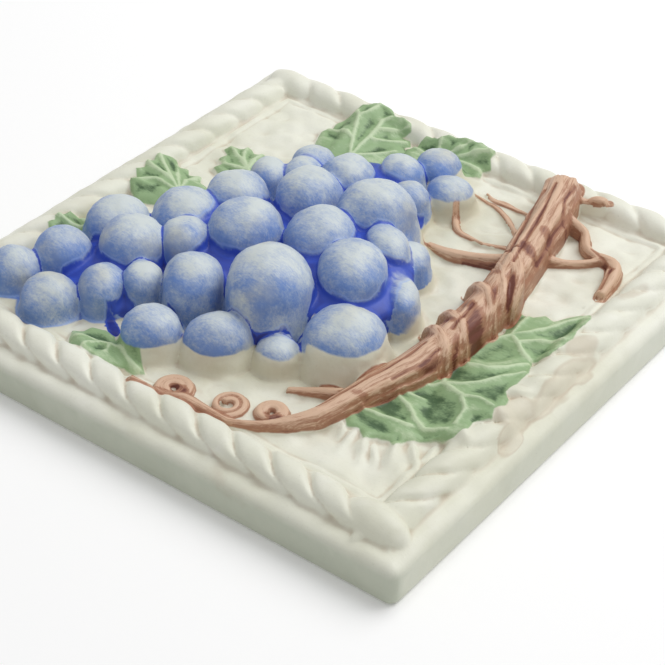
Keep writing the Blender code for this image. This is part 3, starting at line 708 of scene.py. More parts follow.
class TILE_OT_leaves(bpy.types.Operator):
    """Model the leaf blades as low pads that follow the border where they lie on it"""
    bl_idname = "tile.leaves"
    bl_label = "Leaves"

    def execute(self, context):
        sizes = context.scene.tile_sizes
        for i, (outline, _, _) in enumerate(LEAVES):
            spots = [Vector((a * UNIT, u * UNIT, 0)) for a, u in outline]
            rings = []
            for level in (-sizes.root_depth, 0.0011):
                ring = []
                for spot in spots:
                    bed = rope_bed(spot.x, spot.y, sizes) if level > 0 else 0.0
                    ring.append(spot + Vector((0, 0, sizes.ground_height + bed + level)))
                rings.append(ring)
            extruded_bar(f"leaf_{i + 1}", rings)
        return {"FINISHED"}


def near(points, spots, margin):
    """Which points lie within a margin of a group of spots, seen from above."""
    places = np.array([spot[:2] for spot in spots])
    low = places.min(axis=0) - margin
    high = places.max(axis=0) + margin
    return np.flatnonzero(((points[:, :2] > low) & (points[:, :2] < high)).all(axis=1))


def run_distance(points, stations):
    """How far each point lies inside a run of widths, its place along the run and its place across it."""
    inside = np.full(len(points), -1e3)
    along = np.zeros(len(points))
    across = np.zeros(len(points))
    travelled = 0.0
    for (ax, ay, *_, wa), (bx, by, *_, wb) in zip(stations, stations[1:]):
        step = np.array((bx - ax, by - ay))
        length = math.hypot(*step)
        offset = points[:, :2] - (ax, ay)
        share = np.clip(offset @ step / length ** 2, 0, 1)
        rest = offset - share[:, None] * step
        distance = np.hypot(rest[:, 0], rest[:, 1])
        depth = (wa + share * (wb - wa)) / 2 - distance
        better = depth > inside
        inside = np.where(better, depth, inside)
        along = np.where(better, travelled + share * length, along)
        across = np.where(better, (offset[:, 1] * step[0] - offset[:, 0] * step[1]) / length, across)
        travelled += length
    return inside, along, across


def line_distance(points, line):
    """How far each point lies from an open line of across and up."""
    nearest = np.full(len(points), 1e3)
    for (ax, ay), (bx, by) in zip(line, line[1:]):
        step = np.array((bx - ax, by - ay))
        offset = points[:, :2] - (ax, ay)
        share = np.clip(offset @ step / (step @ step), 0, 1)
        rest = offset - share[:, None] * step
        nearest = np.minimum(nearest, np.hypot(rest[:, 0], rest[:, 1]))
    return nearest


def outline_depth(points, outline):
    """How far each point lies inside a closed outline of across and up; outside it is below zero."""
    closed = list(outline) + [outline[0]]
    nearest = line_distance(points, closed)
    inside = np.zeros(len(points), dtype=bool)
    for (ax, ay), (bx, by) in zip(closed, closed[1:]):
        if ay == by:
            continue
        spans = (points[:, 1] < max(ay, by)) & (points[:, 1] >= min(ay, by))
        inside ^= spans & (points[:, 0] < ax + (points[:, 1] - ay) * (bx - ax) / (by - ay))
    return np.where(inside, nearest, -nearest)


def oval_place(points, across, up, bearing):
    """Where each point lies along and across an oval's long axis, from its middle."""
    turn = math.radians(bearing)
    dx = points[:, 0] - across
    dy = points[:, 1] - up
    return dx * math.cos(turn) + dy * math.sin(turn), -dx * math.sin(turn) + dy * math.cos(turn)


def ellipse_pools(points, pools, mounds=False):
    """The strongest of several soft-edged ovals, or of rounded mounds, at each point."""
    strongest = np.zeros(len(points))
    for across, up, half_length, half_width, bearing, strength in pools:
        u, v = oval_place(points, across, up, bearing)
        reach = np.hypot(u / half_length, v / half_width)
        shape = np.exp(-1.5 * reach ** 2) if mounds else soft_step(1.25, 0.55, reach)
        strongest = np.maximum(strongest, strength * shape)
    return strongest


def soft_step(low, high, values):
    """A smooth rise from 0 at low to 1 at high; falls instead where low is above high."""
    share = np.clip((values - low) / (high - low), 0, 1)
    return share * share * (3 - 2 * share)


def lumps(points, length, seed):
    """Smooth lumps of about a given length, from -1 to 1, from a few crossing waves."""
    total = np.zeros(len(points))
    for k in range(7):
        angle = 2.399 * k + seed
        tilt = 0.9 * math.sin(1.7 * k + 2.3 * seed)
        direction = np.array((math.cos(angle), math.sin(angle), tilt))
        wave = 2 * math.pi / (length * (0.75 + 0.09 * k))
        swerve = 1.3 * np.sin(points[:, (k + 1) % 3] / length + k)
        total += np.sin(points @ direction * wave + 4.1 * k * seed + swerve)
    return total / 4.5


def dome_level(share, dome, half, crown):
    """Height of a dome above the ground, at a share of the way from its crown to its rim."""
    rise = dome_rise(dome, half, crown)
    return crown - rise + rise * np.sqrt(np.maximum(1 - share ** 2, 0))


def blend(total, sharpness):
    """The soft greatest of values that were summed as powers."""
    return np.log(total + 1e-9) / sharpness


def grape_places(points, height, root):
    """For each point: depth in the nearest grape, its share from crown to rim, how far it lies to that
    grape's lower side, how near it is to a gap between forms, and depth inside the painting."""
    count = len(points)
    nearest = np.full(count, -99.0)
    rim_share = np.full(count, 9.0)
    low_side = np.zeros(count)
    painted = np.zeros(count)
    filled = np.zeros(count)
    floor = np.full(count, 6.0)
    highest = np.full(count, -9.0)
    second = np.full(count, -9.0)
    for i, (across, up, crown, width, length, bearing) in enumerate(GRAPES):
        here = near(points, ((across, up),), length / 2 + 22)
        half = width / 2
        u, v = oval_place(points[here], across, up, bearing)
        share = np.hypot(u / (length / 2), v / half)
        depth = (1.05 - share) * half
        side = -(points[here, :2] - (across, up)) @ UPPER_SIDE / half
        closer = depth > nearest[here]
        nearest[here] = np.where(closer, depth, nearest[here])
        rim_share[here] = np.where(closer, share, rim_share[here])
        low_side[here] = np.where(closer, side, low_side[here])

        # The floor that the blue stops at: high on the front row, and low at the back of those grapes
        foot = BARE_FOOTED.get(i, 0.3 if i in LOW_GRAPES else 2.5)
        if i in BARE_FOOTED:
            foot = 1.5 + (foot - 1.5) * soft_step(-1.25, -0.8, side)
        floor[here] = np.where(closer, foot, floor[here])

        # The two highest forms at each point, which show where a gap runs
        below = np.maximum(share - 1, 0) / (grape_spread(i) - 1)
        level = dome_level(share, GRAPE_DOME, half, crown)
        level -= below * (crown - dome_rise(GRAPE_DOME, half, crown) + root)
        second[here] = np.maximum(second[here], np.minimum(level, highest[here]))
        highest[here] = np.maximum(highest[here], level)

        inside = depth + 1.3 if i in LOW_GRAPES else depth
        fill = depth
        if i in BARE_FOOTED:
            ragged = 0.5 * np.sin(u * 0.23 + 0.9 * i) + 0.2 * lumps(points[here], 7.0, 1.1)
            inside = np.minimum(depth + 1.0, 0.75 * (height[here] - foot - ragged))
            fill = np.minimum(depth, -1.5)
        painted[here] += np.exp(np.clip(inside, -30, 8) * 0.9)
        filled[here] += np.exp(np.clip(fill, -30, 8) * 0.3)
    painted = blend(painted, 0.9)
    filled = blend(filled, 0.3)

    heap = np.full(count, -9.0)
    for across, up, crown, width, length, bearing in HEAPS:
        half = width / 2
        u, v = oval_place(points, across, up, bearing)
        share = np.hypot(u / (length / 2), v / half)
        filled = np.maximum(filled, (1.02 - share) * half)
        heap = np.maximum(heap, np.where(share < 1, dome_level(share, HEAP_DOME, half, crown), -9.0))
    filled = np.minimum(filled, 1.3 * (height - floor))
    lower = np.maximum(second, heap)
    gap = soft_step(4.6, 1.0, highest - lower) * soft_step(-2.0, 2.0, lower)
    return nearest, rim_share, low_side, gap, np.maximum(painted, filled)


def leaf_places(points):
    """The leaves' rise over the ground, the depth inside their outlines and the tone of their green."""
    lift = np.zeros(len(points))
    depth = np.full(len(points), -9.0)
    tone = np.zeros(len(points))
    for outline, ribs, hollows in LEAVES:
        here = near(points, outline, 5)
        spots = points[here]
        inside = outline_depth(spots, outline)
        rib = np.zeros(len(here))
        for line in ribs:
            rib = np.maximum(rib, np.exp(-((line_distance(spots, line) / 0.85) ** 2)))
        hollow = np.zeros(len(here))
        shade = np.zeros(len(here))
        for pocket in hollows:
            sunk = outline_depth(spots, pocket)
            hollow = np.maximum(hollow, soft_step(-2.2, 2.4, sunk))
            shade = np.maximum(shade, soft_step(-1.6, 1.8, sunk))
        crown = 1.5 * (1 - np.exp(-np.maximum(inside, 0) / 2.2))
        rise = (crown + 0.65 * rib - 1.0 * hollow) * soft_step(-0.4, 1.2, inside)
        better = inside > depth[here]
        lift[here] = np.where(better, rise, lift[here])
        tone[here] = np.where(better, 0.45 - 0.40 * rib ** 2 + 0.42 * shade, tone[here])
        depth[here] = np.maximum(depth[here], inside)
    return lift, depth, tone


def lay_run(points, places, stations, start, covers=False):
    """Add one run of widths to the vine's places; a run that covers lies over what is there."""
    inside, along, across = places
    here = near(points, stations, 8)
    depth, far, side = run_distance(points[here], stations)
    better = (depth > 0) & (depth > np.minimum(inside[here], 0.3)) if covers else depth > inside[here]
    inside[here] = np.maximum(depth, inside[here])
    along[here] = np.where(better, far + start, along[here])
    across[here] = np.where(better, side, across[here])


def band_curve(left, crest, right, count):
    """Where a tendril band runs over the vine, across and up, and the height of its arch from 0 to 1."""
    curve = []
    for k in range(count + 1):
        share = k / count
        bow = 4 * share * (1 - share)
        across = left[0] + share * (right[0] - left[0]) + bow * (crest[0] - (left[0] + right[0]) / 2)
        up = left[1] + share * (right[1] - left[1]) + bow * (crest[1] - (left[1] + right[1]) / 2)
        curve.append((across, up, bow))
    return curve


def coil_curve(across, up, radius, turns, bearing, width, steps_per_turn):
    """Where a tendril coil runs, across and up."""
    steps = round(turns * steps_per_turn)
    curve = []
    for k in range(steps + 1):
        share = k / steps
        angle = math.radians(bearing) + 2 * math.pi * turns * share
        reach = radius - width / 2 - (radius - width) * share * turns / 2
        curve.append((across + reach * math.cos(angle), up + reach * math.sin(angle)))
    return curve


def vine_places(points):
    """Depth inside the vine and its shoots, place along, place across, and depth inside the stem alone.

    The place along starts at a number of its own on each run, so that no two share the same streaks.
    """
    places = (np.full(len(points), -9.0), np.zeros(len(points)), np.zeros(len(points)))
    lay_run(points, places, VINE, 0)
    stem = places[0].copy()
    for i, stations in enumerate(SHOOTS):
        lay_run(points, places, smooth_run(stations, 4), 200 + 40 * i)
    for i, (left, crest, right, width) in enumerate(BANDS):
        run = [(across, up, width) for across, up, _ in band_curve(left, crest, right, 8)]
        lay_run(points, places, run, 600 + 40 * i, covers=True)
    for i, coil in enumerate(COILS):
        run = [(across, up, coil[5]) for across, up in coil_curve(*coil, 16)]
        lay_run(points, places, run, 900 + 60 * i)
    return (*places, stem)


def bark_grooves(points):
    """How deep each point lies in one of the long grooves of the bark, from 0 to 1."""
    grooves = np.zeros(len(points))
    for line in BARK_GROOVES:
        here = near(points, line, 3)
        grooves[here] = np.maximum(grooves[here], np.exp(-((line_distance(points[here], line) / 0.6) ** 2)))
    return grooves


def read_points(mesh):
    points = np.empty(len(mesh.vertices) * 3)
    mesh.vertices.foreach_get("co", points)
    return points.reshape(-1, 3)


def read_normals(mesh):
    normals = np.empty(len(mesh.vertices) * 3, dtype=np.float32)
    mesh.vertex_normals.foreach_get("vector", normals)
    return normals.reshape(-1, 3).astype(float)


def smooth_form(form, passes):
    """Smooth the active form's surface a number of times."""
    smooth = form.modifiers.new("smooth", "SMOOTH")
    smooth.factor = 0.5
    smooth.iterations = passes
    bpy.ops.object.modifier_apply(modifier=smooth.name)


def hollowness(casting, passes):
    """How far the surface lies below a smoothed copy of itself, in drawing units."""
    copy = own_copy(casting, "smoothed_copy")
    smooth_form(copy, passes)
    offset = read_points(copy.data) - read_points(casting.data)
    bpy.data.objects.remove(copy)
    return (offset * read_normals(casting.data)).sum(axis=1) / UNIT


def write_values(mesh, name, values):
    """Keep one number per corner for the painting to read."""
    attribute = mesh.attributes.get(name) or mesh.attributes.new(name, "FLOAT", "POINT")
    attribute.data.foreach_set("value", values.astype(np.float32))


def read_values(mesh, name):
    values = np.empty(len(mesh.vertices), dtype=np.float32)
    mesh.attributes[name].data.foreach_get("value", values)
    return values.astype(float)


def from_edge(points):
    """How far each point lies inside the slab's outline."""
    return HALF_SIDE - np.maximum(abs(points[:, 0]), abs(points[:, 1]))


def wear(points, height, depth, sunk, on_vine, top):
    """How much of its hollow or its rise each point loses: clay softens every hollow, fills the gaps of the
    bunch and wears the right, upper and left ropes down."""
    bunch = soft_step(-9.0, -3.0, depth) * soft_step(-0.5, 1.0, height)
    edge = from_edge(points)
    rope = soft_step(3.0, 6.0, edge) * soft_step(21.0, 18.0, edge) * top
    right = soft_step(72.0, 80.0, points[:, 0]) * soft_step(-74.0, -52.0, points[:, 1])
    upper = soft_step(70.0, 80.0, points[:, 1])
    left = soft_step(-72.0, -80.0, points[:, 0])
    worn_rope = np.maximum(0.65 * right, 0.55 * np.maximum(upper, left)) * rope
    return np.maximum((0.18 * top + 0.27 * bunch) * (1 - 0.8 * on_vine) * (sunk > 0), worn_rope)


def bark_relief(points, vine, along, across, stem):
    """Straps, threads and deep grooves that follow the wood, over its broad lumps."""
    lower = soft_step(4.0, -16.0, points[:, 1])
    sway = 1.2 * np.sin(along / 9.0) + 0.5 * np.sin(along / 3.7 + 1)
    straps = (1 - 0.6 * lower) * np.sin(across * 1.9 + sway)
    threads = np.sin(across * 4.8 + along / 4.0 + 0.8 * np.sin(along / 2.3))
    relief = 0.14 * straps + 0.06 * threads + 0.30 * lumps(points, 12, 0.7) * soft_step(0.5, 4.0, stem)
    return relief - 0.5 * bark_grooves(points) * soft_step(-0.5, 1.0, vine)


def ground_relief(points, height, leaf, depth, top):
    """The rise of the bare ground: a scored line by the rope, folds in the field and lumps on the ledge."""
    edge = from_edge(points)
    scored = -0.24 * np.exp(-(((edge - 21.6) / 0.8) ** 2)) + 0.18 * np.exp(-(((edge - 20.3) / 0.9) ** 2))
    flat = soft_step(1.6, 0.6, height) * soft_step(0.0, -1.5, leaf) * top
    field = soft_step(18.0, 21.0, edge) * flat * soft_step(0.0, -3.0, depth)
    folds = 0.95 * np.clip(lumps(points, 17, 5.2), -0.6, 1.0) + 0.28 * lumps(points, 7.5, 2.2)
    ledge = soft_step(7.5, 5.0, edge) * soft_step(-3.0, 0.0, height)
    rise = scored * flat * soft_step(-1.0, -3.0, depth) + folds * field
    return rise + (0.42 * lumps(points, 12, 3.3) - 0.30) * ledge


def carve(points, normals, sunk, sizes):
    """The fine carving, as a move of every point of the fused body, all in drawing units."""
    height = points[:, 2] - sizes.ground_height / UNIT
    top = soft_step(-1.0, 0.0, height)
    vine, along, across, stem = vine_places(points)
    on_vine = soft_step(-0.6, 0.6, vine) * top
    lift, leaf, _ = leaf_places(points)
    off_vine = soft_step(9.5, 8.0, height) * soft_step(0.6, -0.4, vine)
    depth = grape_places(points, height, sizes.root_depth / UNIT)[0]
    on_grape = soft_step(-1.5, 0.5, depth) * soft_step(1.5, 4.0, height)

    teeth = ellipse_pools(points, BARE_TEETH, mounds=True) * soft_step(2.0, -0.5, leaf)
    raised = (lift * (1 - on_grape) + teeth) * top * off_vine
    raised += ground_relief(points, height, leaf, depth, top)
    worn = np.clip(sunk, -3, 4) * wear(points, height, depth, sunk, on_vine, top)
    bark = bark_relief(points, vine, along, across, stem) * on_vine
    skin = (0.38 * lumps(points, 13, 2.1) + 0.13 * lumps(points, 4.6, 0.4)) * on_grape
    worked = 0.17 * lumps(points, 19, 1.3) + 0.10 * lumps(points, 6.5, 3.0)
    worked *= (1 - np.clip(on_grape + on_vine, 0, 1)) * soft_step(-13.0, -10.5, height)
    return normals * (worn + bark + skin + worked)[:, None] + np.array((0, 0, 1)) * raised[:, None]


class TILE_OT_cast(bpy.types.Operator):
    """Fuse the forms into one casting, work over its surface and mark where each paint goes"""
    bl_idname = "tile.cast"
    bl_label = "Fuse and Carve"

    def execute(self, context):
        sizes = context.scene.tile_sizes
        deselect()
        forms = list(bpy.data.collections[FORMS].objects)
        for form in forms:
            form.select_set(True)
        context.view_layer.objects.active = forms[0]
        bpy.ops.object.join()
        casting = context.object
        casting.name = "relief_tile"
        casting.data.name = "relief_tile"
        fuse = casting.modifiers.new("fuse", "REMESH")
        fuse.mode = "VOXEL"
        fuse.voxel_size = sizes.fusing_step
        bpy.ops.object.modifier_apply(modifier=fuse.name)
        smooth_form(casting, 5)

        mesh = casting.data
        points = read_points(mesh) / UNIT
        sunk = hollowness(casting, BROAD_PASSES)
        moved = points + carve(points, read_normals(mesh), sunk, sizes)
        moved[:, :2] = np.clip(moved[:, :2], -HALF_SIDE, HALF_SIDE)
        moved[:, 2] = np.where(points[:, 2] < BACK_LEVEL, points[:, 2], moved[:, 2])
        moved[:, 2] = np.maximum(moved[:, 2], 0)
        mesh.vertices.foreach_set("co", (moved * UNIT).ravel())
        mesh.update()
        write_values(mesh, "crease", hollowness(casting, FINE_PASSES))
        write_values(mesh, "hollow", hollowness(casting, BROAD_PASSES))
        write_values(mesh, "sunk", sunk)

        deselect()
        casting.select_set(True)
        context.view_layer.objects.active = casting
        mesh.calc_loop_triangles()
        thin = casting.modifiers.new("thin", "DECIMATE")
        thin.ratio = min(1.0, sizes.face_count / len(mesh.loop_triangles))
        bpy.ops.object.modifier_apply(modifier=thin.name)
        bpy.ops.object.shade_smooth()
        mark_paint(casting.data, sizes)
        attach(casting, "root")
        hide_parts("tile")
        return {"FINISHED"}


def vine_marks(points, height, depth, crease, hollow):
    """Depth inside the brown paint, how dark it is, and the direction of its grain."""
    vine, along, across, stem = vine_places(points)
    shoot = soft_step(-0.3, -1.2, stem)
    # Painted shade near the vine's feet; on the shoots, brown outlines at the edges and a paler middle
    foot_shade_and_outline = 0.30 * soft_step(1.8, 0.2, stem) * (1 - shoot) + shoot * (0.35 * soft_step(0.9, 0.1, vine) - 0.12)
    tone = 0.30 + 0.9 * np.clip(crease, -0.15, 0.4) + 0.35 * np.clip(hollow, -0.3, 1.0)
    tone += 0.7 * bark_grooves(points) + ellipse_pools(points, VINE_SHADE_AND_STAIN) + foot_shade_and_outline
    vine = np.where(height > 0.15, vine + 0.25 + 0.8 * soft_step(0.4, 2.0, height), -3)

    # The sawn stub is painted on its rod alone, and the grapes keep the brown off their feet
    stub = soft_step(44.0, 46.0, points[:, 0]) * soft_step(78.0, 80.0, points[:, 1]) * shoot
    vine -= 3.0 * stub * soft_step(5.4, 4.2, height)
    vine -= 1.2 * soft_step(-2.0, 0.5, depth) * soft_step(2.5, 0.5, stem)
    return vine, tone, np.column_stack((along, across, height))


def mark_paint(mesh, sizes):
    """Mark how far inside each kind of paint every corner lies, and how strong its tones are."""
    points = read_points(mesh) / UNIT
    height = points[:, 2] - sizes.ground_height / UNIT
    crease = read_values(mesh, "crease")
    hollow = read_values(mesh, "hollow")
    above = soft_step(-0.8, 0.2, height)
    depth, share, low_side, gap, painted = grape_places(points, height, sizes.root_depth / UNIT)
    vine, vine_tone, grain = vine_marks(points, height, depth, crease, hollow)

    blue = ellipse_pools(points, BLUE_POOLS) * soft_step(-1.0, -0.5, height) * soft_step(10.5, 8.0, height)
    grape = np.where(height > -0.4, np.maximum(painted, 3.0 * blue - 1.2), -5)
    pool = 0.50 * soft_step(0.1, 1.6, read_values(mesh, "sunk")) + 0.25 * soft_step(0.03, 0.30, crease)
    pool += 0.16 * soft_step(0.62, 1.02, share) ** 2 + 0.35 * soft_step(0.2, -1.6, depth)
    pool += 0.66 * gap + 0.9 * blue

    _, leaf, leaf_tone = leaf_places(points)
    leaf_tone += 0.3 * np.clip(hollow, -0.2, 1.0) + 0.5 * np.clip(crease, 0, 0.3)
    # Painted shade on the leaf against the foot of the vine
    leaf_tone += ellipse_pools(points, SHADE_DARKS)

    # Painted shade: a khaki wash on the ground and the low skirts round the bunch
    wash = soft_step(-16, -1, depth) * soft_step(14, 2, height) * 0.9
    edge = from_edge(points)
    rope = soft_step(4.5, 7.5, edge) * soft_step(22, 18.5, edge) * above
    front = soft_step(94.0, 99.0, -points[:, 1])
    marks = {
        "grape": np.clip(grape, -6, 6), "grape_pool": pool, "grape_rim": share,
        # Painted shade on each grape's lower side
        "grape_low": np.clip(low_side, -1.2, 1.2),
        "vine": np.clip(vine, -6, 6), "vine_tone": vine_tone,
        "leaf": np.clip(np.where(height > -0.5, leaf, -5), -6, 6), "leaf_tone": leaf_tone,
        # Painted shade round the bunch, with the thin khaki wash on the far ground
        "wash": np.maximum(wash, ellipse_pools(points, FAR_WASH)) * above,
        "dirt": 3.0 * crease + 0.35 * soft_step(0, 1.0, hollow) * rope,
        # Painted shade on the slab's sides below the ground, darker on the front face
        "flank": soft_step(-0.6, -4.5, height) * (0.55 + 0.65 * front),
        "stain": ellipse_pools(points, STAINS) * above,
    }
    for name, values in marks.items():
        write_values(mesh, name, values)
    mesh.attributes.new("grain", "FLOAT_VECTOR", "POINT")
    mesh.attributes["grain"].data.foreach_set("vector", grain.astype(np.float32).ravel())


class Socket:
    """A value in the shader that can be added, multiplied and compared."""

    def __init__(self, shader, output):
        self.shader = shader
        self.output = output

    def math(self, operation, *values):
        return self.shader.node("ShaderNodeMath", {"operation": operation}, *values)

    def __add__(self, other):
        return self.math("ADD", self, other)

    def __radd__(self, other):
        return self.math("ADD", other, self)

    def __sub__(self, other):
        return self.math("SUBTRACT", self, other)

    def __rsub__(self, other):
        return self.math("SUBTRACT", other, self)

    def __mul__(self, other):
        return self.math("MULTIPLY", self, other)

    def __rmul__(self, other):
        return self.math("MULTIPLY", other, self)

    def lower(self, other):
        return self.math("MINIMUM", self, other)

    def higher(self, other):
        return self.math("MAXIMUM", self, other)

    def rise(self, low, high):
        """A smooth step from 0 at low to 1 at high."""
        settings = {"interpolation_type": "SMOOTHSTEP"}
        return self.shader.node("ShaderNodeMapRange", settings, self, low, high, 0.0, 1.0)

    def fall(self, low, high):
        """A smooth step from 1 at low to 0 at high."""
        settings = {"interpolation_type": "SMOOTHSTEP"}
        return self.shader.node("ShaderNodeMapRange", settings, self, low, high, 1.0, 0.0)


class Shader:
    """A material's nodes, each made by one method."""

    def __init__(self, name):
        self.material = bpy.data.materials.new(name)
        self.material.use_nodes = True
        self.tree = self.material.node_tree
        self.base = self.tree.nodes["Principled BSDF"]
        self.place = self.node("ShaderNodeTexCoord", {}, output="Object")

    def node(self, kind, settings, *values, output=0, **named):
        """A node with its settings, then the values or links of its sockets; gives one of its outputs."""
        made = self.tree.nodes.new(kind)
        for key, value in settings.items():
            setattr(made, key, value)
        for key, value in list(enumerate(values)) + list(named.items()):
            if value is not None:
                self.feed(made.inputs[key if isinstance(key, int) else key.replace("_", " ")], value)
        return Socket(self, made.outputs[output])

    def feed(self, target, value):
        if isinstance(value, Socket):
            self.tree.links.new(value.output, target)
        elif target.type == "RGBA" and len(value) == 3:
            target.default_value = (*value, 1.0)
        else:
            target.default_value = value

    def value(self, name):
        """A number kept on the corners of the mesh."""
        return self.node("ShaderNodeAttribute", {"attribute_name": name}, output="Fac")

    def noise(self, scale, detail=2.0, roughness=0.5, distortion=0.0, vector=None):
        return self.node("ShaderNodeTexNoise", {}, output="Fac", Vector=vector or self.place, Scale=scale,
                         Detail=detail, Roughness=roughness, Distortion=distortion)

    def stretch(self, vector, scale):
        """A vector with each of its parts scaled."""
        return self.node("ShaderNodeVectorMath", {"operation": "MULTIPLY"}, vector, scale)

    def mix(self, share, first, second):
        """A colour between two, by a share."""
        made = self.tree.nodes.new("ShaderNodeMix")
        made.data_type = "RGBA"
        for index, value in ((0, share), (6, first), (7, second)):
            self.feed(made.inputs[index], value)
        return Socket(self, made.outputs[2])


class TILE_OT_glaze(bpy.types.Operator):
    """Paint the casting under a satin glaze: cream ground, blue grapes, brown vine and green leaves"""
    bl_idname = "tile.glaze"
    bl_label = "Paint and Glaze"

    def execute(self, context):
        colours = context.scene.tile_colours
        shader = Shader("painted_glaze")
        edge_wobble = (shader.noise(420, 3, 0.6) - 0.5) * 0.8
        broad = shader.noise(26, 3, 0.55)
        cloud = shader.noise(75, 4, 0.6)
        brushed = shader.noise(1, 3, 0.6, vector=shader.stretch(shader.place, (150, 420, 260)))
        pencil = shader.noise(1, 3, 0.75, vector=shader.stretch(shader.place, (800, 1900, 1150)))

        # The bare ground: cream, with painted shade as a khaki wash round and under the front of the bunch, a
        # thin khaki wash on the far ground, and tan in the grooves
        ground = shader.mix(broad.rise(0.35, 0.7) * 0.7, tuple(colours.cream), glaze_tint(222, 222, 203))
        ground = shader.mix(cloud.rise(0.50, 0.75) * 0.40, ground, glaze_tint(242, 241, 232))
        khaki = shader.noise(17, 4, 0.6, 0.4).rise(0.50, 0.72)
        ground = shader.mix(khaki * 0.35, ground, glaze_tint(206, 204, 178))
        # Khaki: painted shade round the bunch, and the thin wash on the far ground
        wash = (shader.value("wash") * 0.8 + (cloud - 0.5) * 1.0).rise(0.15, 1.0) * 0.70
        ground = shader.mix(wash, ground, tuple(colours.khaki))
        # Painted shade: the slab's sides grey-green, darkest on the front face
        flank = shader.value("flank") * (0.80 + (cloud - 0.5) * 0.4)
        ground = shader.mix(flank, ground, glaze_tint(186, 191, 174))
        dirt = (shader.value("dirt") + (cloud - 0.5) * 0.35).rise(0.02, 0.6)
        ground = shader.mix(dirt * 0.42, ground, tuple(colours.tan))
        stain = shader.value("stain")
        stained = (stain + (broad - 0.5) * 1.5 + (cloud - 0.5) * 0.7).rise(0.25, 0.75)
        ground = shader.mix(stained * 0.27, ground, glaze_tint(208, 188, 164))
        stain_edge = stained * (1.0 - stained) * 4.0
        ground = shader.mix(stain_edge * 0.22, ground, glaze_tint(164, 130, 100))
        ground = shader.mix((pencil - 0.5).rise(0.0, 0.25) * 0.14, ground, glaze_tint(186, 182, 158))

        # Leaves: pale ribs, brushed green blades and dark hollows
        leaf_tone = shader.value("leaf_tone") + (cloud - 0.5) * 0.95
        leaf_tone = leaf_tone + (brushed - 0.5) * 0.7 + (pencil - 0.5) * 0.5
        leaf = shader.mix(leaf_tone.rise(0.05, 0.55), tuple(colours.leaf_pale), tuple(colours.leaf_mid))
        leaf = shader.mix(leaf_tone.rise(0.60, 1.10), leaf, tuple(colours.leaf_dark))
        leaf = shader.mix(leaf_tone.rise(1.25, 1.7), leaf, glaze_tint(30, 40, 28))
        on_leaf = (shader.value("leaf") + edge_wobble * 0.6).rise(-0.25, 0.35)
        colour = shader.mix(on_leaf * 0.96, ground, leaf)

        # The vine: streaks that follow the wood, dark in the grooves
        grain = shader.node("ShaderNodeAttribute", {"attribute_name": "grain"}, output="Vector")
        streaks = shader.noise(1, 4, 0.7, vector=shader.stretch(grain, (0.10, 1.7, 0.7)))
        fine = shader.noise(1, 2, 0.5, vector=shader.stretch(grain, (0.35, 5.0, 2.0)))
        tone = shader.value("vine_tone") + (streaks - 0.5) * 1.65 + (fine - 0.5) * 0.65
        vine = shader.mix(tone.rise(0.10, 0.62), tuple(colours.vine_light), tuple(colours.vine_mid))
        vine = shader.mix(tone.rise(0.70, 1.35), vine, tuple(colours.vine_dark))
        on_vine = (shader.value("vine") + edge_wobble * 0.5).rise(-0.2, 0.35)
        colour = shader.mix(on_vine * 0.95, colour, vine)

        # Grapes: brushed blue, with a painted highlight on the pale crowns and painted shade towards the rims
        # and on the lower side, and cobalt pooled between them
        pool = shader.value("grape_pool") + (cloud - 0.5) * 0.22 + (brushed - 0.5) * 0.30
        swirl = shader.noise(58, 3, 0.6, 0.3)
        # Painted highlight and shade over the brushed blue: paler at the crown, bluer towards the rim and on
        # the lower side
        blue_and_shade = shader.value("grape_rim").rise(0.25, 1.05) * 0.52 + shader.value("grape_low") * 0.20
        blue_and_shade = blue_and_shade + (swirl - 0.5) * 1.9 + (brushed - 0.5) * 0.8 + (pencil - 0.5) * 1.15 + 0.16
        grape = shader.mix(blue_and_shade.rise(-0.15, 1.15), tuple(colours.grape_pale), tuple(colours.grape_mid))
        warm = shader.noise(52, 2, 0.5, 0.0).rise(0.52, 0.75)
        grape = shader.mix(warm * 0.42, grape, glaze_tint(204, 200, 172))
        halo = pool.rise(0.28, 0.42) * pool.fall(0.46, 0.62)
        grape = shader.mix(halo * 0.5, grape, glaze_tint(150, 178, 232))
        grape = shader.mix(pool.rise(0.48, 0.85), grape, tuple(colours.cobalt))
        grape = shader.mix(pool.rise(0.95, 1.45), grape, tuple(colours.cobalt_deep))
        on_grape = (shader.value("grape") + edge_wobble * 0.5).rise(-0.15, 0.45)
        colour = shader.mix(on_grape * 0.97, colour, grape)

        # Glaze: satin, glossier where it pools, with fine pits and brush marks
        specks = shader.noise(1500, 2, 0.6).rise(0.70, 0.78)
        colour = shader.mix(specks * 0.18, colour, glaze_tint(120, 112, 96))
        gloss = 0.50 + (cloud - 0.5) * 0.16 + specks * 0.2 - pool.rise(0.5, 1.2) * 0.14
        shader.feed(shader.base.inputs["Base Color"], colour)
        shader.feed(shader.base.inputs["Roughness"], gloss)
        shader.base.inputs["Specular IOR Level"].default_value = 0.30
        shader.base.inputs["Coat Weight"].default_value = 0.08
        shader.base.inputs["Coat Roughness"].default_value = 0.30
        pits = shader.noise(260, 3, 0.55) * 0.5 + shader.noise(900, 2, 0.5) * 0.15
        peel = pits + brushed * 0.25 - specks * 0.6
        bump = shader.node("ShaderNodeBump", {}, output="Normal", Strength=0.35, Distance=0.0004, Height=peel)
        shader.feed(shader.base.inputs["Normal"], bump)
        casting = bpy.data.objects["relief_tile"]
        casting.data.materials.clear()
        casting.data.materials.append(shader.material)
        return {"FINISHED"}


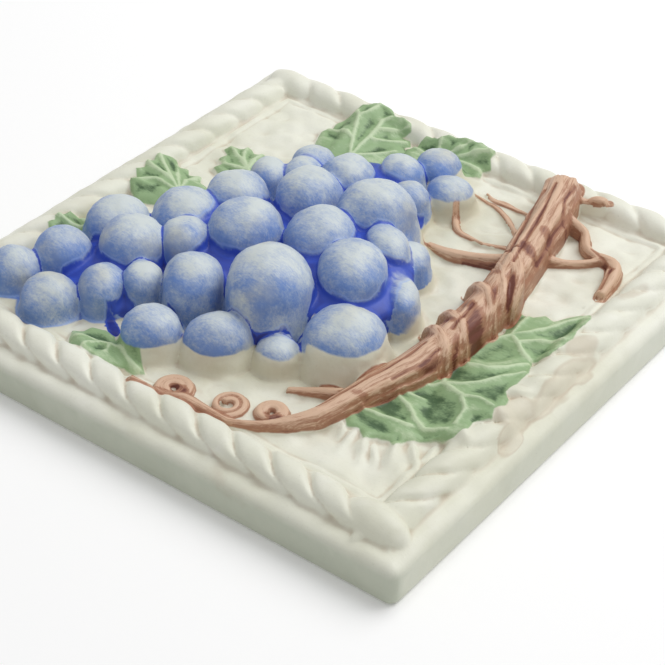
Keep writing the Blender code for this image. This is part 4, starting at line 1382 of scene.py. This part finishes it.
class TILE_OT_stage(bpy.types.Operator):
    """Set the pale floor, the soft studio light and the camera"""
    bl_idname = "tile.stage"
    bl_label = "Stage"

    def execute(self, context):
        deselect()
        bpy.ops.mesh.primitive_plane_add(size=FLOOR_SIZE, location=(0, 0, -FLOOR_GAP))
        floor = context.object
        floor.name = "floor"
        paper = Shader("white_paper")
        paper.base.inputs["Base Color"].default_value = (PAPER_WHITE, PAPER_WHITE, PAPER_WHITE, 1.0)
        paper.base.inputs["Roughness"].default_value = 0.9
        paper.base.inputs["Emission Color"].default_value = (1.0, 1.0, 1.0, 1.0)
        paper.base.inputs["Emission Strength"].default_value = 0.10
        floor.data.materials.append(paper.material)
        for name, spot, size, power in LIGHTS:
            bpy.ops.object.light_add(type="AREA", location=spot)
            light = context.object
            light.name = name
            light.data.size = size
            light.data.energy = power
            light.rotation_euler = (-Vector(spot)).to_track_quat("-Z", "Y").to_euler()
        world = bpy.data.worlds.new("studio")
        context.scene.world = world
        world.use_nodes = True
        world.node_tree.nodes["Background"].inputs["Color"].default_value = (1.0, 1.0, 1.0, 1.0)
        world.node_tree.nodes["Background"].inputs["Strength"].default_value = SKY_STRENGTH
        context.scene.view_settings.view_transform = "Standard"

        cosine = math.cos(CAMERA_ELEVATION)
        back = Vector((math.sin(CAMERA_AZIMUTH) * cosine, -math.cos(CAMERA_AZIMUTH) * cosine,
                       math.sin(CAMERA_ELEVATION)))
        level_right = (-back).cross(Vector((0, 0, 1))).normalized()
        level_up = level_right.cross(-back)
        right = level_right * math.cos(CAMERA_ROLL) + level_up * math.sin(CAMERA_ROLL)
        up = level_up * math.cos(CAMERA_ROLL) - level_right * math.sin(CAMERA_ROLL)
        place = Vector(CAMERA_TARGET) + back * CAMERA_DISTANCE
        turn = Matrix((right, up, back)).transposed().to_4x4()
        bpy.ops.object.camera_add(location=(0, 0, 0))
        camera = context.object
        camera.name = "camera"
        camera.matrix_world = Matrix.Translation(place) @ turn
        camera.data.lens = CAMERA_LENS
        camera.data.sensor_width = SENSOR_WIDTH
        context.scene.camera = camera
        return {"FINISHED"}


class TILE_PT_panel(bpy.types.Panel):
    """Steps of making the tile, in order"""
    bl_idname = "TILE_PT_panel"
    bl_label = "Vine Relief Tile"
    bl_space_type = "VIEW_3D"
    bl_region_type = "UI"
    bl_category = "Tile"

    def draw(self, context):
        for group in (context.scene.tile_sizes, context.scene.tile_colours):
            column = self.layout.column(align=True)
            for name in group.__annotations__:
                column.prop(group, name)
        column = self.layout.column(align=True)
        for step in STEPS:
            column.operator(step.bl_idname)


STEPS = (TILE_OT_slab, TILE_OT_rope, TILE_OT_grapes, TILE_OT_vine, TILE_OT_coils, TILE_OT_leaves,
         TILE_OT_cast, TILE_OT_glaze, TILE_OT_stage)
CLASSES = (TileSizes, TileColours) + STEPS + (TILE_PT_panel,)


def register():
    for item in CLASSES:
        bpy.utils.register_class(item)
    bpy.types.Scene.tile_sizes = bpy.props.PointerProperty(type=TileSizes)
    bpy.types.Scene.tile_colours = bpy.props.PointerProperty(type=TileColours)


def unregister():
    del bpy.types.Scene.tile_sizes
    del bpy.types.Scene.tile_colours
    for item in reversed(CLASSES):
        bpy.utils.unregister_class(item)


def main():
    register()
    forms = bpy.data.collections.new(FORMS)
    bpy.context.scene.collection.children.link(forms)
    bpy.ops.tile.slab()
    bpy.ops.tile.rope()
    bpy.ops.tile.grapes()
    bpy.ops.tile.vine()
    bpy.ops.tile.coils()
    bpy.ops.tile.leaves()
    bpy.ops.tile.cast()
    bpy.ops.tile.glaze()
    bpy.ops.tile.stage()


if __name__ == "__main__":
    main()
